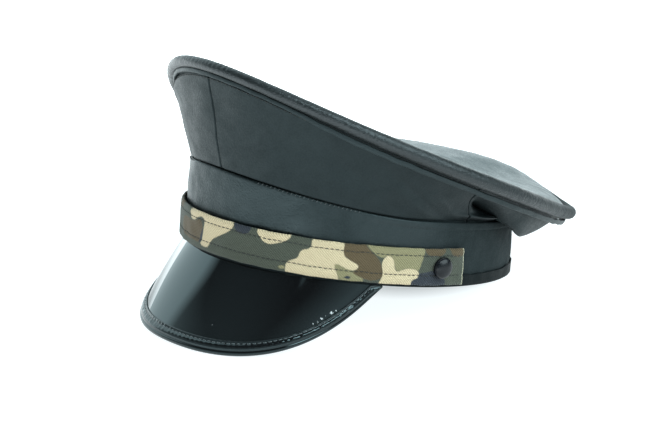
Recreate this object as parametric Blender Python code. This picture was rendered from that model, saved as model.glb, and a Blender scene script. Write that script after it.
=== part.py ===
"""A captain hat in leather, lying as it does on a table: on the edge of its peak and the back of its band.

The hat is modelled in its own upright frame, where the bottom of the band is the plane z = 0, the front
faces -Y and the wearer's left is +X. An angle is measured round the head from the front towards the left.
Every piece hangs on one empty, which leans the hat back until peak and band reach the floor together.
All lengths are in metres.
"""
import math

import bmesh
import bpy
import numpy as np

# Clearance that neighbouring pieces keep
GAP = 0.0003

# Band round the head
BAND_HALF_WIDTH = 0.0831
BAND_HALF_LENGTH = 0.1061
BAND_LEAN = 0.106
BAND_WALL = 0.0018
BAND_SIDE_HEIGHT = 0.0383
BAND_FRONT_RISE = 0.0123
BAND_BACK_DROP = 0.0060

# Binding folded round the bottom edge of the band
HEM_HEIGHT = 0.0070
HEM_WALL = 0.0008

# Strap of camouflage cloth across the front, and the snap at each of its ends
STRAP_WIDTH = 0.0205
STRAP_THICKNESS = 0.0016
STRAP_LIFT = 0.0022
STRAP_SLACK = 0.0012
STRAP_END = math.radians(96.5)
SNAP_ANGLE = math.radians(87.2)
SNAP_RADIUS = 0.0060
SNAP_HEIGHT = 0.0034

# Roll round the edge of the crown, and how high it runs
CROWN_HALF_WIDTH = 0.0998
CROWN_HALF_LENGTH = 0.1404
CROWN_SETBACK = 0.0111
CROWN_HEIGHT = 0.0649
CROWN_RISE = 0.0352
CROWN_EGG = 0.0070
CROWN_POINT = 0.0012
ROLL_RADIUS = 0.0042

# Waves of the roll's height: turns round the head, then cosine and sine as shares of CROWN_RISE
ROLL_HEIGHT_WAVES = (
    (1, 1.000, 0.091),
    (2, 0.201, 0.139),
    (3, 0.089, -0.086),
    (4, -0.010, -0.014),
)

# Kinks of the roll at the back: angle and half width in degrees, and lift as a share of CROWN_RISE
ROLL_KINKS = (
    # angle, width, lift
    (-171.0, 19.0, 0.097),
    (150.0, 24.0, 0.052),
)

# Waves of the roll's radius: turns, then cosine as a share of ROLL_RADIUS
ROLL_RADIUS_WAVES = (
    (0, 0.92),
    (1, 0.015),
    (2, -0.14),
)

# Thin welt under the roll
WELT_HEIGHT = 0.0022
WELT_THICKNESS = 0.0017
WELT_TURN = math.radians(20.0)

# Leather of the crown: its top, its two front quarters and its slack back
PANEL_WALL = 0.0015
PANEL_TUCK = 0.0045
TOP_WALL = 0.0014
TOP_ENTRY = math.radians(28.0)
TOP_SAG = 0.0060
TOP_PUFF = 0.0030
SIDE_SEAM = math.radians(84.0)
SIDE_SEAM_SKEW = math.radians(16.0)
SEAM_GAP = 0.0004

# The slack back: it folds out over the band's edge, then hangs in a pouch behind a slanting edge
LEDGE_REACH = 0.0030
LEDGE_START = math.radians(112.0)
POUCH_DEPTH = 0.0126
POUCH_SWELL = 0.0040
POUCH_MIDDLE = 0.5
POUCH_EDGE_LOW = math.radians(106.0)
POUCH_EDGE_HIGH = math.radians(90.0)
POUCH_SOFTNESS = math.radians(9.0)

# Soft dents of the panels: angle at the roll and half width in degrees, place and half width up the panel
# as shares of its height, and depth as a share of POUCH_DEPTH, inward positive
PANEL_FOLDS = (
    # angle, angle_width, place, place_width, depth
    (92.0, 7.0, 0.34, 0.40, 0.36),
    (-94.0, 9.0, 0.34, 0.40, 0.24),
    (76.0, 5.0, 0.40, 0.45, 0.05),
    (68.0, 7.0, 0.30, 0.40, -0.05),
    (-78.0, 9.0, 0.40, 0.45, 0.05),
    (148.0, 10.0, 0.62, 0.30, 0.10),
    (180.0, 10.0, 0.55, 0.35, -0.10),
    (-144.0, 10.0, 0.60, 0.30, 0.10),
)

# Peak of patent leather and the binding round its edge
PEAK_HALF_ANGLE = math.radians(67.3)
PEAK_REACH = 0.0224
PEAK_DROP = 0.0507
PEAK_REACH_POWER = 1.39
PEAK_DROP_POWER = 0.92
PEAK_ROUNDNESS = 1.46
PEAK_CROWNING = 0.0012
PEAK_WALL = 0.0015
PEAK_BINDING_WIDTH = 0.0089
PEAK_BINDING_WALL = 0.0007
PEAK_SEAT = 0.0012

# Facets
RING_STEPS = 80
ROLL_SIDES = 10
PEAK_STEPS = 30
SNAP_STEPS = 20

HEM_FACE = GAP + HEM_WALL
STRAP_FACE = HEM_FACE + GAP + STRAP_THICKNESS
HEM_SEAT = HEM_WALL + GAP


def clear_scene():
    """Removes what the file holds."""
    for thing in list(bpy.data.objects):
        bpy.data.objects.remove(thing, do_unlink=True)


def material(name, colour, roughness, metallic=0.0):
    """A plain Principled finish."""
    finish = bpy.data.materials.new(name)
    finish.use_nodes = True
    shader = finish.node_tree.nodes["Principled BSDF"]
    shader.inputs["Base Color"].default_value = (*colour, 1.0)
    shader.inputs["Roughness"].default_value = roughness
    shader.inputs["Metallic"].default_value = metallic
    finish.diffuse_color = (*colour, 1.0)
    return finish


def unit(vectors):
    """Vectors along the last axis, scaled to length one."""
    return vectors / np.linalg.norm(vectors, axis=-1, keepdims=True)


def smooth_step(value):
    """Rises from 0 to 1 as the value goes from -1 to 1, level at both ends."""
    share = np.clip(0.5 + 0.5 * value, 0.0, 1.0)
    return share * share * (3.0 - 2.0 * share)


def turn_apart(angle, centre):
    """The signed angle from centre, the short way round."""
    return (angle - centre + math.pi) % (2.0 * math.pi) - math.pi


def band_height(angle):
    """Height of the band's top edge: it rises to the front and drops a little to the back."""
    front = np.maximum(np.cos(angle), 0.0) ** 2
    back = np.maximum(-np.cos(angle), 0.0) ** 1.2
    return BAND_SIDE_HEIGHT + BAND_FRONT_RISE * front - BAND_BACK_DROP * back


def band_point(angle, height, offset=0.0):
    """A point of the band's oval at a height, moved straight out from the leather by the offset."""
    angle, height, offset = np.broadcast_arrays(angle, height, offset)
    normal_x = np.sin(angle) / BAND_HALF_WIDTH
    normal_y = -np.cos(angle) / BAND_HALF_LENGTH
    size = np.hypot(normal_x, normal_y)
    x = BAND_HALF_WIDTH * np.sin(angle) + offset * normal_x / size
    y = -BAND_HALF_LENGTH * np.cos(angle) + offset * normal_y / size - BAND_LEAN * height
    return np.stack([x, y, height], axis=-1)


def roll_centre(angle):
    """Centre line of the roll: an egg-shaped oval whose height swells in waves and kinks at the back."""
    point = CROWN_POINT * np.cos(4.0 * angle)
    x = (CROWN_HALF_WIDTH + CROWN_EGG * np.cos(angle) + point) * np.sin(angle)
    y = CROWN_SETBACK - (CROWN_HALF_LENGTH + point) * np.cos(angle)
    height = sum(c * np.cos(n * angle) + s * np.sin(n * angle) for n, c, s in ROLL_HEIGHT_WAVES)
    for centre, width, lift in ROLL_KINKS:
        across = turn_apart(angle, math.radians(centre)) / math.radians(width)
        height = height + lift * np.exp(-across ** 2)
    return np.stack([x, y, CROWN_HEIGHT + CROWN_RISE * height], axis=-1)


def roll_radius(angle):
    """Radius of the roll, fuller at the sides than in front and behind."""
    return ROLL_RADIUS * sum(share * np.cos(turns * angle) for turns, share in ROLL_RADIUS_WAVES)


def roll_frame(angle):
    """Unit vectors out of, up from and along the roll."""
    step = 1e-4
    along = unit(roll_centre(angle + step) - roll_centre(angle - step))
    out = unit(np.stack([along[..., 1], -along[..., 0], np.zeros_like(angle)], axis=-1))
    return out, np.cross(out, along), along


def from_front(angle):
    """How far round an angle lies from the front, on either side."""
    return np.abs(turn_apart(angle, 0.0))


def foot_angle(angle):
    """Where the line up a panel to this angle on the roll leaves the band: further back at the sides."""
    return angle + SIDE_SEAM_SKEW * np.sin(angle) * np.abs(np.sin(angle)) / math.sin(SIDE_SEAM) ** 2


def panel_foot(angle, rise):
    """A panel's foot: behind the band's edge, or folded out over it where the back hangs slack."""
    start = foot_angle(angle)
    behind = -BAND_WALL - GAP
    over = smooth_step((from_front(start) - LEDGE_START) / POUCH_SOFTNESS)
    height = band_height(start) + (1.0 + rise) * GAP + over * (PANEL_WALL + GAP)
    return band_point(start, height, behind + rise * over * (LEDGE_REACH - behind))


def panel_head(angle):
    """Direction from the roll's centre to a panel: towards the panel's foot, lower where the back hangs."""
    along = roll_frame(angle)[2]
    towards = panel_foot(angle, 1.0) - roll_centre(angle)
    hang = smooth_step((from_front(angle) - POUCH_EDGE_HIGH) / POUCH_SOFTNESS)
    towards[..., 2] -= 2.0 * POUCH_DEPTH * hang
    return unit(towards - along * (towards * along).sum(axis=-1, keepdims=True))


def pouch(angle, place):
    """How far the slack back hangs, as a share: none in front of a slanting edge, deepest near the band."""
    edge = POUCH_EDGE_LOW + (POUCH_EDGE_HIGH - POUCH_EDGE_LOW) * place
    hang = smooth_step((from_front(angle) - edge) / POUCH_SOFTNESS)
    belly = place ** 0.4 * (1.0 - place) ** 1.3
    sideways = POUCH_MIDDLE + (1.0 - POUCH_MIDDLE) * np.sin(angle) ** 2
    return hang * sideways * belly / belly.max()


def folds(angle, place):
    """Sum of the soft dents in PANEL_FOLDS, each a bell in angle and in height."""
    total = np.zeros(np.broadcast(angle, place).shape)
    for centre, width, middle, spread, depth in PANEL_FOLDS:
        across = turn_apart(angle, math.radians(centre)) / math.radians(width)
        up = (place - middle) / spread
        total += depth * POUCH_DEPTH * np.exp(-across ** 2 - up ** 2)
    return total * np.sin(np.pi * np.clip(place, 0.0, 1.0))


def panel_sheet(angles, rows):
    """Outer face of a crown panel, from its tuck behind the band up to the roll."""
    angle = angles[:, None]
    place = np.linspace(0.0, 1.0, rows)[None, :] ** 1.5
    foot = panel_foot(angles, 1.0)[:, None]
    head = roll_centre(angles) + panel_head(angles) * (roll_radius(angles) + GAP)[:, None]
    face = foot + (head[:, None] - foot) * place[..., None]
    start = foot_angle(angle)
    outward = band_point(start, 0.0, 1.0) - band_point(start, 0.0, 0.0)
    hang = pouch(angle, place)
    face = face + outward * (POUCH_SWELL * hang - folds(angle, place))[..., None]
    face[..., 2] -= POUCH_DEPTH * hang
    begin = foot_angle(angles)
    tuck = band_point(begin, band_height(begin) - PANEL_TUCK, -BAND_WALL - GAP)[:, None]
    lip = panel_foot(angles, 0.0)[:, None]
    return np.concatenate([tuck, lip, face], axis=1)


def top_sheet(angles, rings):
    """Upper face of the crown's top: it sags in the middle, puffs up at the back, and meets the roll."""
    out, up, _ = roll_frame(angles)
    inward = up * math.sin(TOP_ENTRY) - out * math.cos(TOP_ENTRY)
    edge = roll_centre(angles) + inward * (roll_radius(angles) + GAP)[:, None]
    middle = edge.mean(axis=0)
    middle[2] -= TOP_SAG
    share = (np.arange(rings, 0, -1) / rings)[None, :] ** 0.8
    sheet = middle + (edge[:, None] - middle) * share[..., None]
    swell = share * (1.0 - share ** 3)
    back = smooth_step(-np.cos(angles))[:, None]
    sheet[..., 2] += TOP_PUFF * back * swell / swell.max()
    return sheet, middle


def peak_half(share):
    """The peak's reach and drop at a share of its half angle, from 1 in the middle to 0 at a corner."""
    fullness = np.cos(0.5 * np.pi * np.abs(share) ** PEAK_ROUNDNESS)
    return PEAK_REACH * fullness ** PEAK_REACH_POWER, PEAK_DROP * fullness ** PEAK_DROP_POWER


def peak_point(share, depth):
    """A point of the peak's face, at a distance down from the band along the slope."""
    reach, drop = peak_half(share)
    length = np.hypot(reach, drop)
    part = depth / length
    full = np.hypot(PEAK_REACH, PEAK_DROP)
    swell = PEAK_CROWNING * np.sin(np.pi * np.clip(part, 0.0, 1.0)) * length / full
    angle = PEAK_HALF_ANGLE * share
    point = band_point(angle, 0.0, HEM_FACE - PEAK_SEAT + reach * part + swell)
    point[..., 2] -= drop * part
    return point


def peak_normal(share, depth):
    """The direction straight out of the peak's face."""
    step = 1e-5
    down = peak_point(share, depth + step) - peak_point(share, depth - step)
    across = peak_point(share + step, depth) - peak_point(share - step, depth)
    return unit(np.cross(across, -down))


def place_mesh(name, vertices, faces, finish, smooth=True):
    """Makes one object of vertices and faces, hung on the rest pose."""
    mesh = bpy.data.meshes.new(name)
    mesh.from_pydata([tuple(map(float, v)) for v in vertices], [], faces)
    mesh.update()
    shape = bpy.data.objects.new(name, mesh)
    bpy.context.scene.collection.objects.link(shape)
    mesh.materials.append(finish)
    if smooth:
        mesh.shade_smooth()
        mesh.set_sharp_from_angle(angle=math.radians(40.0))
    shape.parent = bpy.data.objects["rest_pose"]
    return shape


def grid_faces(columns, rows, round_columns, round_rows):
    """Four-sided faces of a grid, closed round either way."""
    faces = []
    for i in range(columns if round_columns else columns - 1):
        for j in range(rows if round_rows else rows - 1):
            a = i * rows + j
            b = ((i + 1) % columns) * rows + j
            c = ((i + 1) % columns) * rows + (j + 1) % rows
            d = i * rows + (j + 1) % rows
            faces.append((a, b, c, d))
    return faces


def hoop(name, sections, finish):
    """A closed ring through cross-sections given as loops of points."""
    columns, rows = sections.shape[:2]
    faces = grid_faces(columns, rows, True, True)
    return face_outward(place_mesh(name, sections.reshape(-1, 3), faces, finish))


def bar(name, sections, finish):
    """A bar through cross-sections given as loops of points, with flat ends."""
    columns, rows = sections.shape[:2]
    faces = grid_faces(columns, rows, False, True)
    faces.append(tuple(range(rows)))
    faces.append(tuple(reversed(range((columns - 1) * rows, columns * rows))))
    return face_outward(place_mesh(name, sections.reshape(-1, 3), faces, finish))


def sheet_wall(name, sheet, wall, finish, whole_round=False):
    """A sheet given by its outer face, thickened inward."""
    columns, rows = sheet.shape[:2]
    shape = place_mesh(name, sheet.reshape(-1, 3), grid_faces(columns, rows, whole_round, False), finish)
    thicken(shape, wall)
    return shape


def thicken(shape, wall):
    """Gives a sheet its thickness, inward from its outer face."""
    solidify = shape.modifiers.new("wall", "SOLIDIFY")
    solidify.thickness = wall
    solidify.offset = -1.0
    solidify.use_quality_normals = True


def face_outward(shape):
    """Turns every face of a closed mesh outward."""
    model = bmesh.new()
    model.from_mesh(shape.data)
    bmesh.ops.recalc_face_normals(model, faces=model.faces)
    model.to_mesh(shape.data)
    model.free()
    return shape


def all_round():
    """Angles all the way round the head."""
    return np.arange(RING_STEPS) * (2.0 * math.pi / RING_STEPS)


def part_way(start, end, radius):
    """Angles between two seams, on the same steps as the rings, kept half a seam's gap short of each."""
    step = 2.0 * math.pi / RING_STEPS
    short = 0.5 * SEAM_GAP / radius
    first = math.ceil((start + 0.3 * step) / step)
    last = math.floor((end - 0.3 * step) / step)
    inner = np.arange(first, last + 1) * step
    return np.concatenate([[start + short], inner, [end - short]])


def build_band(finish):
    """The band's wall, standing in the fold of its binding."""
    angle = all_round()
    top = band_height(angle)
    half = 0.5 * (top + HEM_SEAT)
    outline = [(HEM_SEAT, 0.0), (half, 0.0), (top, 0.0),
               (top, -BAND_WALL), (half, -BAND_WALL), (HEM_SEAT, -BAND_WALL)]
    sections = np.stack([band_point(angle, z, o) for z, o in outline], axis=1)
    return hoop("band", sections, finish)


def build_hem(finish):
    """The binding: a channel folded up both sides of the band's bottom edge."""
    angle = all_round()
    inner = -BAND_WALL - GAP
    back = inner - HEM_WALL
    outline = [(0.0, HEM_FACE), (HEM_HEIGHT, HEM_FACE), (HEM_HEIGHT, GAP), (HEM_WALL, GAP),
               (HEM_WALL, inner), (HEM_HEIGHT, inner), (HEM_HEIGHT, back), (0.0, back)]
    sections = np.stack([band_point(angle, z, o) for z, o in outline], axis=1)
    return hoop("band_hem", sections, finish)


def strap_stand(angle):
    """How far the strap's outer face stands off the band: it bows out in front."""
    return STRAP_FACE + STRAP_SLACK * np.maximum(np.cos(angle), 0.0) ** 4


def build_strap(finish):
    """The cloth strap, from one snap round the front to the other."""
    step = 2.0 * math.pi / RING_STEPS
    count = math.floor(STRAP_END / step)
    angle = np.concatenate([[-STRAP_END], np.arange(-count, count + 1) * step, [STRAP_END]])
    heights = STRAP_LIFT + STRAP_WIDTH * np.array([0.0, 0.5, 1.0])
    sheet = band_point(angle[:, None], heights[None, :], strap_stand(angle)[:, None])
    return sheet_wall("strap", sheet, STRAP_THICKNESS, finish)


def build_snap(name, side, finish):
    """A snap's domed cap: a profile spun round its axis, set on the strap."""
    model = bmesh.new()
    foot = 0.22 * SNAP_HEIGHT
    profile = [(0.0, SNAP_HEIGHT)]
    for turn in (22.0, 45.0, 66.0, 84.0):
        a = math.radians(turn)
        profile.append((0.93 * SNAP_RADIUS * math.sin(a), foot + (SNAP_HEIGHT - foot) * math.cos(a)))
    profile += [(SNAP_RADIUS, foot), (SNAP_RADIUS, 0.0), (0.0, 0.0)]
    points = [model.verts.new((r, 0.0, z)) for r, z in profile]
    edges = [model.edges.new(pair) for pair in zip(points, points[1:])]
    bmesh.ops.spin(model, geom=points + edges, cent=(0, 0, 0), axis=(0, 0, 1), angle=2.0 * math.pi,
                   steps=SNAP_STEPS, use_merge=True)
    bmesh.ops.remove_doubles(model, verts=model.verts, dist=1e-6)
    bmesh.ops.dissolve_degenerate(model, edges=model.edges, dist=1e-7)
    bmesh.ops.recalc_face_normals(model, faces=model.faces)
    mesh = bpy.data.meshes.new(name)
    model.to_mesh(mesh)
    model.free()
    mesh.materials.append(finish)
    mesh.shade_smooth()
    mesh.set_sharp_from_angle(angle=math.radians(40.0))
    shape = bpy.data.objects.new(name, mesh)
    bpy.context.scene.collection.objects.link(shape)
    angle = side * SNAP_ANGLE
    middle = STRAP_LIFT + 0.5 * STRAP_WIDTH
    seat = band_point(angle, middle, strap_stand(angle) + GAP)
    heading = band_point(angle, middle, 1.0) - band_point(angle, middle, 0.0)
    shape.location = [float(v) for v in seat]
    shape.rotation_euler = (0.0, 0.5 * math.pi, math.atan2(heading[1], heading[0]))
    shape.parent = bpy.data.objects["rest_pose"]
    return shape


def build_roll(finish):
    """The fat roll round the crown's edge."""
    angle = all_round()
    out, up, _ = roll_frame(angle)
    turn = np.arange(ROLL_SIDES) * (2.0 * math.pi / ROLL_SIDES)
    ring = out[:, None] * np.cos(turn)[None, :, None] + up[:, None] * np.sin(turn)[None, :, None]
    sections = roll_centre(angle)[:, None] + ring * roll_radius(angle)[:, None, None]
    return hoop("rim_roll", sections, finish)


def build_welt(finish):
    """The thin welt under the roll, just outside the panels' top edge."""
    angle = all_round()
    along = roll_frame(angle)[2]
    heading = panel_head(angle)
    face = np.cross(heading, along)
    turned = heading * math.cos(WELT_TURN) + face * math.sin(WELT_TURN)
    side = np.cross(along, turned)
    centre = roll_centre(angle) + turned * (roll_radius(angle) + GAP + 0.5 * WELT_HEIGHT)[:, None]
    outline = [(0.5, 0.25), (0.25, 0.5), (-0.25, 0.5), (-0.5, 0.25),
               (-0.5, -0.25), (-0.25, -0.5), (0.25, -0.5), (0.5, -0.25)]
    sections = np.stack([centre + turned * (WELT_HEIGHT * h) + side * (WELT_THICKNESS * w)
                         for h, w in outline], axis=1)
    return hoop("rim_welt", sections, finish)


def build_quarter(name, side, finish):
    """A front quarter of the crown's wall, from the front seam round to the side seam."""
    start, end = (0.0, SIDE_SEAM) if side > 0 else (-SIDE_SEAM, 0.0)
    return sheet_wall(name, panel_sheet(part_way(start, end, BAND_HALF_WIDTH), 5), PANEL_WALL, finish)


def build_back(finish):
    """The slack back panel of the crown's wall, between the side seams."""
    angles = part_way(SIDE_SEAM, 2.0 * math.pi - SIDE_SEAM, BAND_HALF_WIDTH)
    return sheet_wall("rear_panel", panel_sheet(angles, 9), PANEL_WALL, finish)


def build_top(finish):
    """The crown's top: rings of four-sided faces closed by a fan in the middle."""
    angles = all_round()
    sheet, middle = top_sheet(angles, 5)
    columns, rows = sheet.shape[:2]
    faces = [tuple(reversed(face)) for face in grid_faces(columns, rows, True, False)]
    hub = columns * rows
    last = rows - 1
    faces += [(((i + 1) % columns) * rows + last, i * rows + last, hub) for i in range(columns)]
    shape = place_mesh("crown_top", np.vstack([sheet.reshape(-1, 3), middle]), faces, finish)
    thicken(shape, TOP_WALL)
    return shape


def corner_share(length):
    """The share of the half angle at which the peak is this long, found by halving."""
    low, high = 0.5, 1.0
    for _ in range(40):
        middle = 0.5 * (low + high)
        longer = np.hypot(*peak_half(middle)) > length
        low, high = (middle, high) if longer else (low, middle)
    return low


def peak_shares(reach):
    """Steps across the peak, common to the peak and its binding, out to a corner."""
    shares = np.linspace(-1.0, 1.0, PEAK_STEPS + 1)
    return np.concatenate([[-reach], shares[np.abs(shares) < reach - 0.01], [reach]])


def build_peak(finish):
    """The peak: a stiff curved sheet from the hem down into the fold of its binding."""
    share = peak_shares(corner_share(1.3 * PEAK_BINDING_WIDTH))
    length = np.hypot(*peak_half(share))
    start = np.full_like(length, 0.5 * PEAK_SEAT)
    end = length - PEAK_BINDING_WALL - GAP
    rows = np.linspace(0.0, 1.0, 7)
    depth = start[:, None] + (end - start)[:, None] * rows[None, :]
    grid = np.broadcast_to(share[:, None], depth.shape)
    outer = peak_point(grid, depth)
    inner = outer - peak_normal(grid, depth) * PEAK_WALL
    sections = np.concatenate([outer, inner[:, ::-1]], axis=1)
    return bar("peak", sections, finish)


def build_peak_binding(finish):
    """The binding: a channel folded round the peak's free edge, running out at the corners."""
    share = peak_shares(corner_share(0.45 * PEAK_BINDING_WIDTH))
    length = np.hypot(*peak_half(share))
    width = np.minimum(PEAK_BINDING_WIDTH, length - PEAK_SEAT)
    skin = PEAK_BINDING_WALL + GAP
    outline = [(0.0, 0.2 * skin), (0.3 * skin, skin), (1.0, skin), (1.0, GAP),
               (PEAK_BINDING_WALL, GAP), (PEAK_BINDING_WALL, -PEAK_WALL - GAP), (1.0, -PEAK_WALL - GAP),
               (1.0, -PEAK_WALL - skin), (0.3 * skin, -PEAK_WALL - skin), (0.0, -PEAK_WALL - 0.2 * skin)]
    loops = []
    for back, lift in outline:
        depth = length - (width if back == 1.0 else back)
        loops.append(peak_point(share, depth) + peak_normal(share, depth) * lift)
    return bar("peak_binding", np.stack(loops, axis=1), finish)


def built_points(shape):
    """The finished corners of a piece, in the hat's upright frame."""
    ready = shape.evaluated_get(bpy.context.evaluated_depsgraph_get())
    mesh = ready.to_mesh()
    points = np.array([tuple(shape.matrix_local @ vertex.co) for vertex in mesh.vertices])
    ready.to_mesh_clear()
    return points


def leaned_height(points, lean):
    """Lowest height of some points once the hat leans back by an angle."""
    return (points[:, 2] * math.cos(lean) - points[:, 1] * math.sin(lean)).min()


def set_down(pieces):
    """Leans the hat until the peak's binding and the back of the hem are level, and stands it on z = 0."""
    front = built_points(pieces["peak_binding"])
    back = built_points(pieces["band_hem"])
    low, high = 0.0, math.radians(45.0)
    for _ in range(50):
        lean = 0.5 * (low + high)
        if leaned_height(front, lean) < leaned_height(back, lean):
            low = lean
        else:
            high = lean
    points = np.vstack([built_points(shape) for shape in pieces.values()])
    y = points[:, 1] * math.cos(lean) + points[:, 2] * math.sin(lean)
    z = points[:, 2] * math.cos(lean) - points[:, 1] * math.sin(lean)
    rest = bpy.data.objects["rest_pose"]
    rest.rotation_euler = (-lean, 0.0, 0.0)
    rest.location = (-0.5 * float(points[:, 0].min() + points[:, 0].max()),
                     -0.5 * float(y.min() + y.max()), -float(z.min()))


def build_hat():
    """Makes every piece and lays the hat down."""
    clear_scene()
    rest = bpy.data.objects.new("rest_pose", None)
    bpy.context.scene.collection.objects.link(rest)
    leather = material("leather", (0.030, 0.036, 0.040), 0.45)
    top_leather = material("top_leather", (0.045, 0.055, 0.060), 0.42)
    patent = material("patent_leather", (0.006, 0.006, 0.007), 0.06)
    cloth = material("camouflage_cloth", (0.16, 0.15, 0.09), 0.85)
    lacquer = material("black_lacquer", (0.008, 0.008, 0.009), 0.15, 0.2)
    pieces = [
        build_band(leather), build_hem(leather), build_strap(cloth),
        build_snap("snap_left", 1, lacquer), build_snap("snap_right", -1, lacquer),
        build_quarter("quarter_left", 1, leather), build_quarter("quarter_right", -1, leather),
        build_back(leather), build_roll(leather), build_welt(leather), build_top(top_leather),
        build_peak(patent), build_peak_binding(patent),
    ]
    bpy.context.view_layer.update()
    set_down({shape.name: shape for shape in pieces})


build_hat()
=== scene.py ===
"""A captain hat in black leather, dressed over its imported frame.

Every piece is a grid of points worked out from named sizes in the hat's own upright frame: the bottom of the
band is the plane z = 0, the front faces -Y, the wearer's left is +X, and an angle is measured round the head
from the front towards the left. Then the hat is laid down as it rests. All lengths are in metres.
"""
import math

import bpy
import numpy as np
from mathutils import Matrix


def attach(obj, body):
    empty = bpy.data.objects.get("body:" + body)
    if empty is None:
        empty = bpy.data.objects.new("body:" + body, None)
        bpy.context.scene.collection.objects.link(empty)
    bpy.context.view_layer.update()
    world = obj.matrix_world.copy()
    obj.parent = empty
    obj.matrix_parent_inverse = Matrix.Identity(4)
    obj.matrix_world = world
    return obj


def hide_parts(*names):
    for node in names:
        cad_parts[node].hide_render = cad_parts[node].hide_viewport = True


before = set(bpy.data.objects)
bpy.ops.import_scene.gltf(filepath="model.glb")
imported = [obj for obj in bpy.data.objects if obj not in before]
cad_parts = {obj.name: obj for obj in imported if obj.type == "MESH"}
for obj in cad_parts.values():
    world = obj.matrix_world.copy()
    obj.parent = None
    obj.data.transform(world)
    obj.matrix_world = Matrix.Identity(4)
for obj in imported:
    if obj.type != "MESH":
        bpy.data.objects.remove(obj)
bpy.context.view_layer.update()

# Clearance between neighbouring pieces
GAP = 0.0003

# Band round the head
BAND_HALF_WIDTH = 0.0831
BAND_HALF_LENGTH = 0.1061
BAND_LEAN = 0.106
BAND_WALL = 0.0018
BAND_SIDE_HEIGHT = 0.0383
BAND_FRONT_RISE = 0.0123
BAND_BACK_DROP = 0.0060

# Folded edge along the band's top at the sides and the back, and the dark seam below it
BAND_FOLD = 0.0042
BAND_FOLD_SWELL = 0.0005
BAND_FOLD_STEP = 0.0006
BAND_FOLD_SEAM = 0.6
BAND_FOLD_START = math.radians(62.0)
BAND_FOLD_FADE = math.radians(14.0)

# Soft creases of the band: angle and lean over the band's height in degrees, half width in degrees, from and
# to as shares of the height at its side, and depth as a share of BAND_WALL, outward positive
BAND_CREASES = (
    # angle, lean, width, low, high, depth
    (36.0, 1.0, 0.35, 0.55, 1.20, -0.14),
    (58.0, 14.0, 2.4, 0.45, 1.10, 0.14),
    (64.0, 10.0, 2.6, 0.40, 1.05, -0.13),
    (72.0, 18.0, 2.6, 0.40, 1.05, 0.07),
    (-40.0, -8.0, 1.6, 0.50, 1.10, 0.14),
    (-70.0, -16.0, 1.8, 0.50, 1.05, -0.16),
    (140.0, 10.0, 2.5, 0.30, 0.95, 0.18),
    (-150.0, -10.0, 2.5, 0.30, 0.95, 0.18),
)
BAND_CREASE_FADE = 0.12

# Height above the hem from which the band is uneven
BAND_FREE = 0.0015

# Binding folded round the bottom edge of the band
HEM_HEIGHT = 0.0070
HEM_WALL = 0.0008
HEM_BEND = 0.0010
HEM_LIP = 0.0002
HEM_WAVE = 0.00025
HEM_FACE = GAP + HEM_WALL

# Strap of camouflage cloth: it bows out in front, and dips along its edges and its two rows of stitches,
# whose places are shares of its width
STRAP_WIDTH = 0.0205
STRAP_THICKNESS = 0.0016
STRAP_LIFT = 0.0022
STRAP_SLACK = 0.0012
STRAP_END = math.radians(96.5)
STRAP_FACE = HEM_FACE + GAP + STRAP_THICKNESS
STRAP_STITCHES = (0.26, 0.82)
STRAP_STITCH_DIP = 0.00028
STRAP_STITCH_REACH = 0.045
STRAP_STITCH_MARGIN = 0.01
STRAP_EDGE_DIP = 0.00035
STRAP_EDGE_REACH = 0.035

# Snaps at the strap's ends
SNAP_ANGLE = math.radians(87.2)
SNAP_RADIUS = 0.0063
SNAP_HEIGHT = 0.0042
SNAP_COLLAR = 0.42 * SNAP_HEIGHT

# Roll round the edge of the crown
CROWN_HALF_WIDTH = 0.0998
CROWN_HALF_LENGTH = 0.1404
CROWN_SETBACK = 0.0111
CROWN_HEIGHT = 0.0649
CROWN_RISE = 0.0352
CROWN_EGG = 0.0070
CROWN_POINT = 0.0012
ROLL_RADIUS = 0.0042

# Waves of the roll's height: turns round the head, then cosine and sine as shares of CROWN_RISE
ROLL_HEIGHT_WAVES = (
    # turns, cosine, sine
    (1, 1.000, 0.091),
    (2, 0.201, 0.139),
    (3, 0.089, -0.086),
    (4, -0.010, -0.014),
)

# Kinks of the roll at the back: angle and half width in degrees, and lift as a share of CROWN_RISE
ROLL_KINKS = (
    # angle, width, lift
    (-171.0, 19.0, 0.097),
    (150.0, 24.0, 0.052),
)

# Waves of the roll's radius: turns, then cosine as a share of ROLL_RADIUS
ROLL_RADIUS_WAVES = (
    # turns, cosine
    (0, 0.92),
    (1, 0.015),
    (2, -0.14),
)

# Where the roll's upper half is gathered: angle and half width in degrees, and depth as a share of its
# radius
ROLL_GATHERS = (
    # angle, width, depth
    (-8.0, 26.0, 0.022),
    (150.0, 40.0, 0.0015),
)

# Thin welt under the roll. It lies close in front and stands off, fatter, from WELT_OPEN on, and is turned
# less on the wearer's right, round WELT_TURN_PLACE, in degrees.
WELT_HEIGHT = 0.0026
WELT_THICKNESS = 0.0017
WELT_TURN = math.radians(20.0)
WELT_TURN_LESS = math.radians(16.0)
WELT_TURN_PLACE = -42.0
WELT_TURN_WIDTH = 26.0
WELT_DROP = 0.0014
WELT_CLOSE = 0.00027
WELT_OPEN = math.radians(38.0)
WELT_OPEN_FADE = math.radians(12.0)
WELT_FATTER = 0.25
WELT_WAVE = 0.00012
WELT_GROOVE = 0.0008

# Leather of the crown's top
TOP_WALL = 0.0014
TOP_ENTRY = math.radians(28.0)
TOP_ENTRY_BACK = math.radians(24.0)
TOP_ENTRY_START = math.radians(155.0)
TOP_ENTRY_FADE = math.radians(15.0)
TOP_SAG = 0.0060
TOP_PUFF = 0.0064
TOP_DISH = 0.42
TOP_CREASE = 0.0004
TOP_CREASE_REACH = 0.10

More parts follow.
